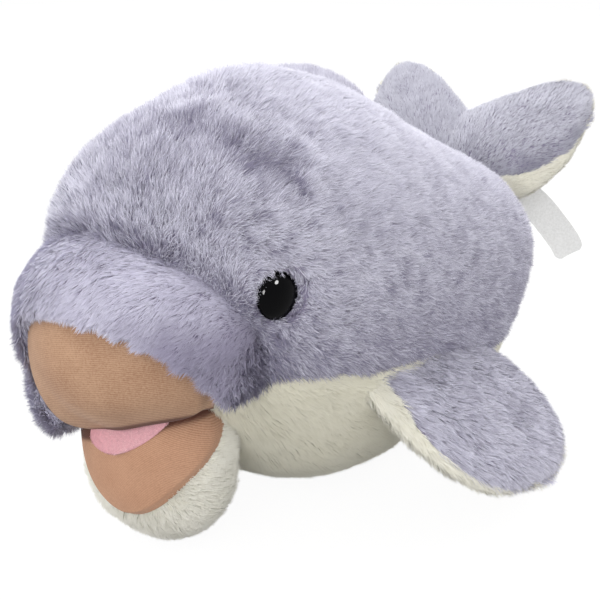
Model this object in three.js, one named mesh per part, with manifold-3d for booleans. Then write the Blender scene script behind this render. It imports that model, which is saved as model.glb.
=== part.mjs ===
import * as THREE from "three";
import { mergeVertices } from "three/addons/utils/BufferGeometryUtils.js";
import Module from "manifold-3d";

// Plush dolphin lying on its belly. Millimetres, +Z up, snout towards -Y, the dolphin's left at +X.
const wasm = await Module();
wasm.setup();

// Cloth and clearances
const gap = 0.3;
const pile = 6;
const liningThick = 3;
const floorCut = 0.5;
const bellySink = 1.3;
const beyond = 600;

// Body: head and trunk in one form. Rows hold share of length, width, top and bottom.
const bodyFront = -150;
const bodyLength = 345;
const bodyWidth = 196;
const bodyHeight = 222;
const bodyBack = bodyFront + bodyLength;
const bodyRoundness = 2.13;
const bodyRows = [
  [0, 0, 0.745, 0.745],
  [0.009, 0.27, 0.8, 0.64],
  [0.04, 0.5, 0.862, 0.49],
  [0.09, 0.7, 0.925, 0.33],
  [0.145, 0.83, 0.965, 0.21],
  [0.215, 0.92, 0.995, 0.11],
  [0.296, 0.98, 1.01, 0.035],
  [0.377, 1, 1.005, 0],
  [0.493, 1, 0.96, 0],
  [0.61, 0.98, 0.875, 0],
  [0.725, 0.92, 0.77, 0.03],
  [0.826, 0.81, 0.67, 0.1],
  [0.913, 0.63, 0.575, 0.2],
  [0.974, 0.35, 0.49, 0.3],
  [1, 0, 0.4, 0.4],
];

// Height of the seam between lavender back and white belly: share of length, share of height
const seamRows = [
  [0, 0.45],
  [0.15, 0.45],
  [0.27, 0.421],
  [0.47, 0.396],
  [0.61, 0.334],
  [0.78, 0.31],
  [1, 0.34],
];

// Snout: the lavender roll over the mouth, with the palate let into it
const snoutReach = 31;
const snoutLength = 98;
const snoutWidth = 0.714 * bodyWidth;
const snoutHeight = 104;
const snoutMiddle = 0.5045 * bodyHeight;
const snoutUpperRoundness = 1.85;
const snoutLowerRoundness = 2.1;
const snoutRows = [
  [0, 0, 0.06, 0.06],
  [0.03, 0.28, 0.25, -0.1],
  [0.12, 0.55, 0.4, -0.24],
  [0.3, 0.82, 0.52, -0.37],
  [0.5, 0.97, 0.57, -0.45],
  [0.7, 1, 0.54, -0.46],
  [0.88, 0.86, 0.38, -0.38],
  [1, 0, 0, 0],
];

// Mouth seen from the front: half oval of the palate above its middle, half oval of the jaw lining below
const mouthMiddle = snoutMiddle - 24;
const palateHalfWidth = 0.379 * snoutWidth;
const palateShift = 5;
const palateRise = 49;
const palateBack = bodyFront + 32;
const palateRecess = 7;
const palateSag = 5;
const palateNarrow = 0.88;
const snoutWall = palateRecess + liningThick;

// Lower jaw pillow: level rings with share of height, width, front inset and back inset
const jawTop = snoutMiddle - 26;
const jawWidth = 0.629 * snoutWidth;
const jawFront = bodyFront + 2;
const jawDepth = 66;
const jawRows = [
  [0, 0.22, 0.5, 0.3],
  [0.03, 0.4, 0.37, 0.21],
  [0.12, 0.64, 0.19, 0.1],
  [0.3, 0.9, 0.04, 0.02],
  [0.55, 1, 0, 0],
  [0.85, 0.97, 0.02, 0],
  [1, 0.8, 0.16, 0.1],
];
const jawHinge = [0, bodyFront + 42, jawTop - 6];
const jawClose = 6;
const jawLiningHalfWidth = jawWidth / 2 - 1;
const jawLiningDrop = jawTop - 25;
const jawLiningBack = bodyFront + 38;

// Tongue, a soft pad hanging out of the mouth crease
const tongueRoot = [10, jawFront + 7.5, jawTop - 14];
const tongueWidth = 44;
const tongueLength = 14;
const tongueThick = 5;
const tongueSlope = 50;
const tongueLift = 20;

// Eyes, domed buttons on shanks with washers behind the cloth
const eyeRadius = 10;
const eyeDome = 8;
const eyeSeat = 3.5;
const eyeShare = 0.106;
const eyeAngle = 3;
const shankRadius = 2.5;
const washerRadius = 8;
const washerThick = 1.6;

// Dorsal fin, flopped over to the right side
const finPlace = 0.4145;
const finSink = 21;
const finRootY = bodyFront + finPlace * bodyLength;
const finSpan = 42;
const finChord = 140;
const finThick = 34;
const finLean = 66;
const finHingeRise = 10;
const finRaise = 30;

// Flippers
const flipperRootX = bodyWidth / 2 - 28;
const flipperRootY = bodyFront + 0.423 * bodyLength;
const flipperRootZ = 0.396 * bodyHeight;
const flipperSpan = 102;
const flipperChord = 120;
const flipperThick = 28;
const flipperDroop = 38;
const flipperTilt = 8;
const flipperHingeX = flipperRootX + 20;
const flipperHingeZ = flipperRootZ - 14;
const flipperLift = 14;

// Tail stock
const tailRootY = bodyBack - 67;
const tailRootZ = 0.4144 * bodyHeight;
const tailLength = 72;
const tailWidth = 58;
const tailThick = 46;
const tailHinge = [0, tailRootY + 28, tailRootZ + 32];
const tailBend = 6;

// Flukes
const flukePitch = 50;
const notchY = tailRootY + 68;
const notchZ = tailRootZ + 88;
const flukeSpan = 176;
const flukeThick = 29;
const flukeStock = 64;
const farLobeRise = 9;
const farLobeSpan = 0.93;
const flukeHinge = [0, tailRootY + 35, tailRootZ + 49];
const flukeFlap = 8;

// Care label, sewn into the seam under the flukes: middle line from root to end, and the way its face looks
const labelWidth = 21;
const labelThick = 0.8;
const labelLine = [
  [14, tailRootY + 32, tailRootZ + 51],
  [27, tailRootY + 44, tailRootZ + 46],
  [46, tailRootY + 62, tailRootZ + 35],
  [63, tailRootY + 76, tailRootZ + 16],
  [74, tailRootY + 83, tailRootZ - 6],
];
const labelFacing = [0.57, -0.755, 0.326];
const labelSwing = 10;

// Facets: sides round a ring, rings along a form
const bodyFacets = [26, 16];
const coreFacets = [16, 9];
const snoutFacets = [20, 10];
const snoutCoreFacets = [14, 7];
const jawFacets = [18, 7];
const jawCoreFacets = [12, 5];
const limbFacets = [14, 7];
const limbCoreFacets = [10, 4];
const flukeFacets = [12, 7];
const flukeCoreFacets = [8, 4];
const eyeSides = 16;
const mouthSides = 24;

const lavender = 0xb4afc0;
const white = 0xe4e2d8;
const peach = 0xcfa080;
const pink = 0xebb4c3;
const black = 0x0a0a0c;
const labelWhite = 0xf2f2f0;
const fill = 0xf4f4f2;
const washerGrey = 0xd8d8d4;

const rad = THREE.MathUtils.degToRad;
const unitX = new THREE.Vector3(1, 0, 0);
const unitY = new THREE.Vector3(0, 1, 0);
const unitZ = new THREE.Vector3(0, 0, 1);

// Smooth curve through rows, each row [share, value, ...], read at one share
function readRows(rows, column, share) {
  let k = 0;
  while (k < rows.length - 2 && share > rows[k + 1][0]) {
    k += 1;
  }
  const slope = (i) => {
    const a = Math.max(i - 1, 0);
    const b = Math.min(i + 1, rows.length - 1);
    return (rows[b][column] - rows[a][column]) / (rows[b][0] - rows[a][0]);
  };
  const span = rows[k + 1][0] - rows[k][0];
  const t = (share - rows[k][0]) / span;
  const low = rows[k][column];
  const high = rows[k + 1][column];
  const m0 = slope(k) * span;
  const m1 = slope(k + 1) * span;
  const t2 = t * t;
  const t3 = t2 * t;
  return (2 * t3 - 3 * t2 + 1) * low + (t3 - 2 * t2 + t) * m0 + (3 * t2 - 2 * t3) * high + (t3 - t2) * m1;
}

// The fin's root lies under the top of the back
const finRootZ = readRows(bodyRows, 2, finPlace) * bodyHeight - finSink;
const finHinge = [0, finRootY, finRootZ + finHingeRise];

// Shares along a form, closer together near its two round ends
function endShares(count) {
  const shares = [];
  for (let i = 1; i < count; i += 1) {
    shares.push(0.5 - 0.5 * Math.cos((Math.PI * i) / count));
  }
  return shares;
}

function power(value, exponent) {
  return Math.sign(value) * Math.abs(value) ** exponent;
}

// Closed skin over rings of equal count, with a point at each end
function loft(rings, startPoint, endPoint) {
  const sides = rings[0].length;
  const points = [startPoint, ...rings.flat(), endPoint];
  const last = points.length - 1;
  const lastRing = 1 + (rings.length - 1) * sides;
  const faces = [];
  for (let s = 0; s < sides; s += 1) {
    const n = (s + 1) % sides;
    faces.push([0, 1 + n, 1 + s]);
    for (let r = 0; r < rings.length - 1; r += 1) {
      const a = 1 + r * sides;
      const b = a + sides;
      faces.push([a + s, a + n, b + n], [a + s, b + n, b + s]);
    }
    faces.push([lastRing + s, lastRing + n, last]);
  }
  let volume = 0;
  for (const [a, b, c] of faces) {
    volume += points[a].dot(points[b].clone().cross(points[c]));
  }
  if (volume < 0) {
    for (const face of faces) {
      face.reverse();
    }
  }
  const geometry = new THREE.BufferGeometry();
  geometry.setAttribute("position", new THREE.Float32BufferAttribute(points.flatMap((p) => p.toArray()), 3));
  geometry.setIndex(faces.flat());
  return geometry;
}

// One ring of a superellipse, with its own half height and roundness above and below
function ring(centre, across, up, half, above, below, sides, upperRoundness = 2, lowerRoundness = upperRoundness) {
  const points = [];
  for (let s = 0; s < sides; s += 1) {
    const angle = (2 * Math.PI * (s + 0.5)) / sides;
    const isUpper = Math.sin(angle) > 0;
    const exponent = 2 / (isUpper ? upperRoundness : lowerRoundness);
    const a = power(Math.cos(angle), exponent) * half;
    const b = power(Math.sin(angle), exponent) * (isUpper ? above : below);
    points.push(centre.clone().addScaledVector(across, a).addScaledVector(up, b));
  }
  return points;
}

// Manifold solid of a geometry, for the cuts
function solid(geometry) {
  const bare = geometry.clone();
  bare.deleteAttribute("normal");
  bare.deleteAttribute("uv");
  const merged = mergeVertices(bare, 1e-4);
  return new wasm.Manifold(
    new wasm.Mesh({
      numProp: 3,
      vertProperties: new Float32Array(merged.attributes.position.array),
      triVerts: new Uint32Array(merged.index.array),
    }),
  );
}

// A geometry turned about an axis through a point
function turned(geometry, pivot, axis, degrees) {
  const centre = new THREE.Vector3(...pivot);
  const matrix = new THREE.Matrix4()
    .makeTranslation(centre)
    .multiply(new THREE.Matrix4().makeRotationAxis(axis, rad(degrees)))
    .multiply(new THREE.Matrix4().makeTranslation(centre.clone().negate()));
  return geometry.clone().applyMatrix4(matrix);
}

// Angles from low to high in small steps, without the rest pose
function sweep(low, high) {
  const steps = 3;
  const angles = [];
  for (const limit of [low, high]) {
    for (let i = 1; i <= steps && limit !== 0; i += 1) {
      angles.push((limit * i) / steps);
    }
  }
  return angles;
}

// The room a carrier takes as seen by a piece that turns on it: the carrier turned back by each angle
function carrierRoom(carrier, pivot, axis, angles) {
  let room = solid(carrier);
  for (const angle of angles) {
    room = room.add(solid(turned(carrier, pivot, axis, -angle)));
  }
  return room;
}

function box(xMin, xMax, yMin, yMax, zMin, zMax) {
  const geometry = new THREE.BoxGeometry(xMax - xMin, yMax - yMin, zMax - zMin);
  geometry.translate((xMin + xMax) / 2, (yMin + yMax) / 2, (zMin + zMax) / 2);
  return solid(geometry);
}

// Form along Y from rows of width, top and bottom
function formAlongY({ front, length, width, height, base, rows, facets, upperRoundness, lowerRoundness, grow }) {
  const [sides, count] = facets;
  const start = front - grow;
  const total = length + 2 * grow;
  const rings = endShares(count).map((share) => {
    const top = base + readRows(rows, 2, share) * height + grow;
    const bottom = base + readRows(rows, 3, share) * height - grow;
    const half = Math.max((readRows(rows, 1, share) * width) / 2 + grow, 1);
    const middle = (top + bottom) / 2;
    const centre = new THREE.Vector3(0, start + share * total, middle);
    return ring(centre, unitX, unitZ, half, top - middle, middle - bottom, sides, upperRoundness, lowerRoundness);
  });
  const endHeight = (row) => base + ((row[2] + row[3]) / 2) * height;
  const startPoint = new THREE.Vector3(0, start, endHeight(rows[0]));
  const endPoint = new THREE.Vector3(0, start + total, endHeight(rows[rows.length - 1]));
  return loft(rings, startPoint, endPoint);
}

function bodyForm(grow, facets = bodyFacets) {
  return formAlongY({
    front: bodyFront,
    length: bodyLength,
    width: bodyWidth,
    height: bodyHeight,
    base: -bellySink,
    rows: bodyRows,
    facets,
    upperRoundness: bodyRoundness,
    lowerRoundness: bodyRoundness,
    grow,
  });
}

function snoutForm(grow, facets = snoutFacets) {
  return formAlongY({
    front: bodyFront - snoutReach,
    length: snoutLength,
    width: snoutWidth,
    height: snoutHeight,
    base: snoutMiddle,
    rows: snoutRows,
    facets,
    upperRoundness: snoutUpperRoundness,
    lowerRoundness: snoutLowerRoundness,
    grow,
  });
}

// The palate is the snout's form set back inside the roll, narrower than it and sagging towards the jaw
function palateForm(grow) {
  return snoutForm(-palateRecess + grow, snoutCoreFacets).scale(palateNarrow, 1, 1).translate(0, 0, -palateSag);
}

// Jaw pillow, a stack of level rings
function jawForm(grow, facets = jawFacets) {
  const [sides, count] = facets;
  const low = -floorCut - grow;
  const tall = jawTop + floorCut + 2 * grow;
  const level = (share) => {
    const half = (readRows(jawRows, 1, share) * jawWidth) / 2 + grow;
    const front = jawFront + readRows(jawRows, 2, share) * jawDepth - grow;
    const back = jawFront + jawDepth - readRows(jawRows, 3, share) * jawDepth + grow;
    return { half, deep: (back - front) / 2, centre: new THREE.Vector3(0, (front + back) / 2, low + share * tall) };
  };
  const rings = [];
  for (let i = 0; i <= count; i += 1) {
    const { half, deep, centre } = level((i / count) ** 1.4);
    rings.push(ring(centre, unitX, unitY, half, deep, deep, sides, 2.3));
  }
  return loft(rings, level(0).centre, level(1).centre);
}

// Flat limb from rows [share of span, chord share, thickness share, sweep share]
function limbForm({ root, along, chordWay, span, chord, thick, rows, facets, grow }) {
  const [sides, count] = facets;
  const normal = along.clone().cross(chordWay).normalize();
  const at = (share) => root
    .clone()
    .addScaledVector(along, share * (span + 2 * grow) - grow)
    .addScaledVector(chordWay, readRows(rows, 3, share) * chord);
  const rings = [];
  for (let i = 0; i < count; i += 1) {
    const share = Math.sin((0.5 * Math.PI * i) / count);
    const half = Math.max((readRows(rows, 1, share) * chord) / 2 + grow, 0.6);
    const deep = Math.max((readRows(rows, 2, share) * thick) / 2 + grow, 0.5);
    rings.push(ring(at(share), chordWay, normal, half, deep, deep, sides));
  }
  return loft(rings, at(0), at(1));
}

const tongueRows = [
  [0, 1, 0.8, 0],
  [0.5, 0.96, 1, 0],
  [0.85, 0.7, 0.8, 0],
  [1, 0.2, 0.3, 0],
];

const finRows = [
  [0, 1, 1, 0],
  [0.3, 0.99, 0.94, 0.01],
  [0.6, 0.92, 0.82, 0.04],
  [0.85, 0.7, 0.62, 0.09],
  [1, 0.2, 0.15, 0.13],
];

function finForm(grow, facets = limbFacets) {
  const lean = rad(finLean);
  return limbForm({
    root: new THREE.Vector3(0, finRootY, finRootZ),
    along: new THREE.Vector3(-Math.sin(lean), 0, Math.cos(lean)),
    chordWay: unitY,
    span: finSpan,
    chord: finChord,
    thick: finThick,
    rows: finRows,
    facets,
    grow,
  });
}

const flipperRows = [
  [0, 1, 0.9, 0],
  [0.25, 1.08, 1, 0.04],
  [0.5, 1.12, 1, 0.08],
  [0.75, 1, 0.85, 0.105],
  [0.92, 0.66, 0.6, 0.115],
  [1, 0.12, 0.12, 0.12],
];

function flipperForm(side, grow, facets = limbFacets) {
  const droop = rad(flipperDroop);
  const tilt = rad(flipperTilt);
  return limbForm({
    root: new THREE.Vector3(side * flipperRootX, flipperRootY, flipperRootZ),
    along: new THREE.Vector3(side * Math.cos(droop), 0, -Math.sin(droop)),
    chordWay: new THREE.Vector3(0, Math.cos(tilt), -Math.sin(tilt)),
    span: flipperSpan,
    chord: flipperChord,
    thick: flipperThick,
    rows: flipperRows,
    facets,
    grow,
  });
}

const tailRows = [
  [0, 1, 1, 0],
  [0.5, 0.92, 0.86, 0],
  [0.8, 0.8, 0.66, 0],
  [1, 0.7, 0.5, 0],
];

const pitch = rad(flukePitch);
const flukeBack = new THREE.Vector3(0, Math.cos(pitch), Math.sin(pitch));
const flukeNormal = new THREE.Vector3(0, -Math.sin(pitch), Math.cos(pitch));
const notch = new THREE.Vector3(0, notchY, notchZ);

function tailForm(grow, facets = limbCoreFacets) {
  return limbForm({
    root: new THREE.Vector3(0, tailRootY, tailRootZ),
    along: flukeBack,
    chordWay: unitX,
    span: tailLength,
    chord: tailWidth,
    thick: tailThick,
    rows: tailRows,
    facets,
    grow,
  });
}

// Flukes: sections across the span, each from leading edge to trailing edge.
// Rows hold share of half span, thickness share, leading and trailing distance from the notch.
const flukeRows = [
  [0, 0.98, -2, 0],
  [0.3, 1, -52, 16],
  [0.55, 0.95, -62, 27],
  [0.75, 0.86, -50, 30],
  [0.92, 0.6, -28, 24],
  [1, 0.1, -4, 6],
];
const stockShare = 0.42;

// How far a lobe reaches to its side; the right lobe is draped a little up and in
function lobeReach(side, grow) {
  const half = side < 0 ? (flukeSpan / 2) * farLobeSpan : flukeSpan / 2;
  return side * (half + grow);
}

function flukeForm(grow, facets = flukeFacets) {
  const [sides, count] = facets;
  const sections = [];
  for (let i = -count + 1; i < count; i += 1) {
    const share = Math.sin((0.5 * Math.PI * Math.abs(i)) / count);
    const deep = Math.max((readRows(flukeRows, 1, share) * flukeThick) / 2 + grow, 0.5);
    const stock = Math.max(0, 1 - share / stockShare) ** 0.7;
    const lead = readRows(flukeRows, 2, share) * (1 - stock) - flukeStock * stock - grow;
    const trail = readRows(flukeRows, 3, share) + grow;
    const drape = i < 0 ? share * farLobeRise : 0;
    const centre = notch
      .clone()
      .addScaledVector(unitX, lobeReach(Math.sign(i), grow) * share)
      .addScaledVector(flukeBack, (lead + trail) / 2 + drape);
    sections.push(ring(centre, flukeBack, flukeNormal, (trail - lead) / 2, deep, deep, sides));
  }
  const tip = (side) => notch
    .clone()
    .addScaledVector(unitX, lobeReach(side, grow))
    .addScaledVector(flukeBack, (readRows(flukeRows, 2, 1) + readRows(flukeRows, 3, 1)) / 2 + (side < 0 ? farLobeRise : 0));
  return loft(sections, tip(-1), tip(1));
}

// Upright slab seen from the front as a half oval, above or below the middle of the mouth
function mouthSlab(halfWidth, halfHeight, isUpper, back, shift = 0) {
  const outline = (y) => ring(
    new THREE.Vector3(shift, y, mouthMiddle),
    unitX,
    unitZ,
    halfWidth,
    isUpper ? halfHeight : beyond,
    isUpper ? beyond : halfHeight,
    mouthSides,
    2.4,
  );
  const front = bodyFront - snoutReach - beyond;
  return solid(loft([outline(front), outline(back)], new THREE.Vector3(shift, front, mouthMiddle), new THREE.Vector3(shift, back, mouthMiddle)));
}

// Everything below the seam of the body, moved up by shift
function belowSeam(shift) {
  const rings = [];
  for (const [share, height] of seamRows) {
    const isFirst = share === 0;
    const isLast = share === 1;
    const y = bodyFront + share * bodyLength + (isFirst ? -beyond : 0) + (isLast ? beyond : 0);
    const z = height * bodyHeight + shift;
    rings.push([
      new THREE.Vector3(-beyond, y, -beyond),
      new THREE.Vector3(beyond, y, -beyond),
      new THREE.Vector3(beyond, y, z),
      new THREE.Vector3(-beyond, y, z),
    ]);
  }
  const middle = (points) => new THREE.Vector3(0, points[0].y, -beyond / 2);
  return solid(loft(rings, middle(rings[0]), middle(rings[rings.length - 1])));
}

// Point on the body's skin and its outward normal, from share of length and angle above the widest line
function bodyPoint(share, degrees, side) {
  const at = (s, angle) => {
    const top = readRows(bodyRows, 2, s) * bodyHeight - bellySink;
    const bottom = readRows(bodyRows, 3, s) * bodyHeight - bellySink;
    const half = (readRows(bodyRows, 1, s) * bodyWidth) / 2;
    const exponent = 2 / bodyRoundness;
    return new THREE.Vector3(
      side * half * power(Math.cos(rad(angle)), exponent),
      bodyFront + s * bodyLength,
      (top + bottom) / 2 + ((top - bottom) / 2) * power(Math.sin(rad(angle)), exponent),
    );
  };
  const point = at(share, degrees);
  const alongWay = at(share + 0.01, degrees).sub(at(share - 0.01, degrees));
  const aroundWay = at(share, degrees + 2).sub(at(share, degrees - 2));
  const normal = alongWay.cross(aroundWay).normalize();
  if (normal.x * side < 0) {
    normal.negate();
  }
  return { point, normal };
}

// Turned piece along a normal: rows of [distance along the normal, radius], from inside to outside
function turnedPiece(origin, normal, rows, sides) {
  const across = new THREE.Vector3().crossVectors(unitZ, normal).normalize();
  const up = new THREE.Vector3().crossVectors(normal, across).normalize();
  const at = (distance) => origin.clone().addScaledVector(normal, distance);
  const rings = rows.map(([distance, radius]) => ring(at(distance), across, up, radius, radius, radius, sides));
  return loft(rings, at(rows[0][0]), at(rows[rows.length - 1][0]));
}

// Half space on the side of a normal, starting half a gap from a point, as a large block
function halfSpace(point, normal, across) {
  const other = new THREE.Vector3().crossVectors(normal, across).normalize();
  const start = point.clone().addScaledVector(normal, gap / 2);
  const corners = (at) => [
    at.clone().addScaledVector(across, beyond).addScaledVector(other, beyond),
    at.clone().addScaledVector(across, -beyond).addScaledVector(other, beyond),
    at.clone().addScaledVector(across, -beyond).addScaledVector(other, -beyond),
    at.clone().addScaledVector(across, beyond).addScaledVector(other, -beyond),
  ];
  const end = start.clone().addScaledVector(normal, beyond);
  return solid(loft([corners(start), corners(end)], start, end));
}

const floorHalf = box(-beyond, beyond, -beyond, beyond, 0, beyond);
const leftHalf = box(gap / 2, beyond, -beyond, beyond, -beyond, beyond);
const rightHalf = box(-beyond, -gap / 2, -beyond, beyond, -beyond, beyond);

const group = new THREE.Group();
group.name = "plush_dolphin";
const parts = new Map();

function addNode(name, piece, colour, roughness) {
  const mesh = piece.getMesh();
  const count = mesh.numProp;
  const positions = new Float32Array(mesh.numVert * 3);
  for (let i = 0; i < mesh.numVert; i += 1) {
    positions.set(mesh.vertProperties.subarray(i * count, i * count + 3), i * 3);
  }
  const geometry = new THREE.BufferGeometry();
  geometry.setAttribute("position", new THREE.BufferAttribute(positions, 3));
  geometry.setIndex(Array.from(mesh.triVerts));
  geometry.computeVertexNormals();
  const material = new THREE.MeshStandardMaterial({ color: colour, roughness, metalness: 0 });
  const node = new THREE.Mesh(geometry, material);
  node.name = name;
  group.add(node);
  parts.set(name, piece);
}

// Largest body of a cut piece, without the crumbs a cut can leave
function whole(piece) {
  return piece.decompose().reduce((a, b) => (b.volume() > a.volume() ? b : a));
}

const bodySolid = solid(bodyForm(0)).intersect(floorHalf);
const bodyRoom = bodyForm(gap);
const bodyRoomSolid = solid(bodyRoom);

// Eyes with their shanks and washers
function eyePieces(side) {
  const { point, normal } = bodyPoint(eyeShare, eyeAngle, side);
  const dome = [[-eyeSeat, eyeRadius * 0.86], [-eyeSeat + 0.8, eyeRadius]];
  const steps = 5;
  for (let i = 1; i < steps; i += 1) {
    const angle = (0.5 * Math.PI * i) / steps;
    dome.push([-eyeSeat + 0.8 + (eyeDome - 0.8) * Math.sin(angle), eyeRadius * Math.cos(angle)]);
  }
  const shankEnd = -pile - washerThick - 3;
  const shank = [[shankEnd, shankRadius], [-eyeSeat + 0.4, shankRadius]];
  const eye = solid(turnedPiece(point, normal, dome, eyeSides)).add(solid(turnedPiece(point, normal, shank, 12)));
  const holeRows = [[shankEnd - gap, shankRadius + gap], [beyond, shankRadius + gap]];
  const hole = solid(turnedPiece(point, normal, holeRows, 12));
  const washerTop = -pile - gap;
  const washerRows = [[washerTop - washerThick, washerRadius], [washerTop, washerRadius]];
  const washer = solid(turnedPiece(point, normal, washerRows, 16)).subtract(hole);
  const roomRows = [[washerTop - washerThick - gap, washerRadius + gap], [washerTop + gap, washerRadius + gap]];
  const washerRoom = solid(turnedPiece(point, normal, roomRows, 16)).add(hole);
  const seatRows = [[-eyeSeat - gap, eyeRadius + gap], [beyond, eyeRadius + gap]];
  const seat = solid(turnedPiece(point, normal, seatRows, eyeSides)).add(washerRoom);
  return { eye, washer, seat, washerRoom };
}

const eyes = { left: eyePieces(1), right: eyePieces(-1) };

// Body: stuffing, two back panels and the belly panel
const bodyHollow = solid(bodyForm(-pile, coreFacets));
const bodyShell = bodySolid.subtract(bodyHollow).subtract(eyes.left.seat).subtract(eyes.right.seat);
const backShell = bodyShell.subtract(belowSeam(gap / 2));
const bodyStuffing = solid(bodyForm(-pile - gap, coreFacets))
  .subtract(eyes.left.washerRoom)
  .subtract(eyes.right.washerRoom);
addNode("body_stuffing", whole(bodyStuffing), fill, 1);
addNode("back_panel_left", whole(backShell.intersect(leftHalf)), lavender, 0.95);
addNode("back_panel_right", whole(backShell.intersect(rightHalf)), lavender, 0.95);
addNode("belly_panel", whole(bodyShell.intersect(belowSeam(-gap / 2))), white, 0.95);
for (const [name, pieces] of Object.entries(eyes)) {
  addNode(`eye_${name}`, pieces.eye, black, 0.08);
  addNode(`eye_washer_${name}`, whole(pieces.washer), washerGrey, 0.5);
}

// Snout: roll, palate lining and stuffing
const snoutHollow = solid(snoutForm(-snoutWall, snoutCoreFacets));
const palateHollow = solid(palateForm(-liningThick));
const palateSlab = mouthSlab(palateHalfWidth, palateRise, true, palateBack, palateShift);
const palateSlabInner = mouthSlab(palateHalfWidth - gap, palateRise - gap, true, palateBack - gap, palateShift);
const snoutShell = solid(snoutForm(0)).subtract(snoutHollow).subtract(bodyRoomSolid);
const palateShell = solid(palateForm(0)).subtract(palateHollow).subtract(bodyRoomSolid);
const snoutCore = solid(snoutForm(-snoutWall - gap, snoutCoreFacets)).intersect(solid(palateForm(-liningThick - gap)));
addNode("snout_panel", whole(snoutShell.subtract(palateSlab)), lavender, 0.95);
addNode("palate_lining", whole(palateShell.intersect(palateSlabInner)), peach, 0.85);
addNode("snout_stuffing", whole(snoutCore.subtract(bodyRoomSolid)), fill, 1);

// Lower jaw: white panel, mouth lining and stuffing, clear of the snout while it closes
const closeAngles = sweep(0, jawClose);
const closeAxis = unitX.clone().negate();
const jawRoom = carrierRoom(snoutForm(gap), jawHinge, closeAxis, closeAngles)
  .add(carrierRoom(bodyRoom, jawHinge, closeAxis, closeAngles));
const jawHollow = solid(jawForm(-pile, jawCoreFacets));
const jawSlab = mouthSlab(jawLiningHalfWidth, jawLiningDrop, false, jawLiningBack);
const jawSlabInner = mouthSlab(jawLiningHalfWidth - gap, jawLiningDrop - gap, false, jawLiningBack - gap);
const jawShell = solid(jawForm(0)).intersect(floorHalf).subtract(jawHollow).subtract(jawRoom);
const jawLiningShell = solid(jawForm(liningThick - pile)).subtract(jawHollow).subtract(jawRoom);
addNode("jaw_panel", whole(jawShell.subtract(jawSlab)), white, 0.95);
addNode("jaw_lining", whole(jawLiningShell.intersect(jawSlabInner)), peach, 0.85);
addNode("jaw_stuffing", whole(solid(jawForm(-pile - gap, jawCoreFacets)).subtract(jawRoom)), fill, 1);

// A limb's skin in two panels and its stuffing, cut clear of what carries it at every angle it turns to
function limbPieces(form, room, skinFacets, innerFacets, splitter, splitterOther) {
  const hollow = solid(form(-pile * 0.6, innerFacets));
  const skin = solid(form(0, skinFacets)).intersect(floorHalf).subtract(hollow).subtract(room);
  const core = solid(form(-pile * 0.6 - gap, innerFacets)).subtract(room);
  return { first: whole(skin.intersect(splitter)), second: whole(skin.intersect(splitterOther)), core: whole(core) };
}

// Dorsal fin
const finRoom = carrierRoom(bodyRoom, finHinge, unitY, sweep(0, finRaise));
const finLeanAngle = rad(finLean);
const finRoot = new THREE.Vector3(0, finRootY, finRootZ);
const finNormal = new THREE.Vector3(Math.cos(finLeanAngle), 0, Math.sin(finLeanAngle));
const fin = limbPieces(
  finForm,
  finRoom,
  limbFacets,
  limbCoreFacets,
  halfSpace(finRoot, finNormal, unitY),
  halfSpace(finRoot, finNormal.clone().negate(), unitY),
);
addNode("dorsal_fin_left_panel", fin.first, lavender, 0.95);
addNode("dorsal_fin_right_panel", fin.second, lavender, 0.95);
addNode("dorsal_fin_stuffing", fin.core, fill, 1);

// Flippers
for (const [name, side] of [["left", 1], ["right", -1]]) {
  const hinge = [side * flipperHingeX, 0, flipperHingeZ];
  const liftAxis = unitY.clone().multiplyScalar(-side);
  const room = carrierRoom(bodyRoom, hinge, liftAxis, sweep(0, flipperLift));
  const droop = rad(flipperDroop);
  const root = new THREE.Vector3(side * flipperRootX, flipperRootY, flipperRootZ);
  const outward = new THREE.Vector3(side * Math.cos(droop), 0, -Math.sin(droop));
  const chordWay = new THREE.Vector3(0, Math.cos(rad(flipperTilt)), -Math.sin(rad(flipperTilt)));
  const topNormal = new THREE.Vector3().crossVectors(outward, chordWay).normalize();
  if (topNormal.z < 0) {
    topNormal.negate();
  }
  const form = (grow, facets) => flipperForm(side, grow, facets);
  const flipper = limbPieces(
    form,
    room,
    limbFacets,
    limbCoreFacets,
    halfSpace(root, topNormal, chordWay),
    halfSpace(root, topNormal.clone().negate(), chordWay),
  );
  addNode(`flipper_${name}_top_panel`, flipper.first, lavender, 0.95);
  addNode(`flipper_${name}_under_panel`, flipper.second, white, 0.95);
  addNode(`flipper_${name}_stuffing`, flipper.core, fill, 1);
}

// Tail stock
const tailRoom = carrierRoom(bodyRoom, tailHinge, unitX, sweep(-tailBend, tailBend));
const tailRoot = new THREE.Vector3(0, tailRootY, tailRootZ);
const tail = limbPieces(
  tailForm,
  tailRoom,
  limbFacets,
  limbCoreFacets,
  halfSpace(tailRoot, flukeNormal, unitX),
  halfSpace(tailRoot, flukeNormal.clone().negate(), unitX),
);
addNode("tail_top_panel", tail.first, lavender, 0.95);
addNode("tail_under_panel", tail.second, white, 0.95);
addNode("tail_stuffing", tail.core, fill, 1);

// Flukes, clear of the body and of the tail stock while they flap
const flukeRoom = carrierRoom(tailForm(gap, limbFacets), flukeHinge, unitX, sweep(-flukeFlap, flukeFlap)).add(tailRoom);
const flukes = limbPieces(
  flukeForm,
  flukeRoom,
  flukeFacets,
  flukeCoreFacets,
  halfSpace(notch, flukeNormal, unitX),
  halfSpace(notch, flukeNormal.clone().negate(), unitX),
);
addNode("fluke_top_panel", flukes.first, lavender, 0.95);
addNode("fluke_under_panel", flukes.second, white, 0.95);
addNode("fluke_stuffing", flukes.core, fill, 1);

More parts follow.
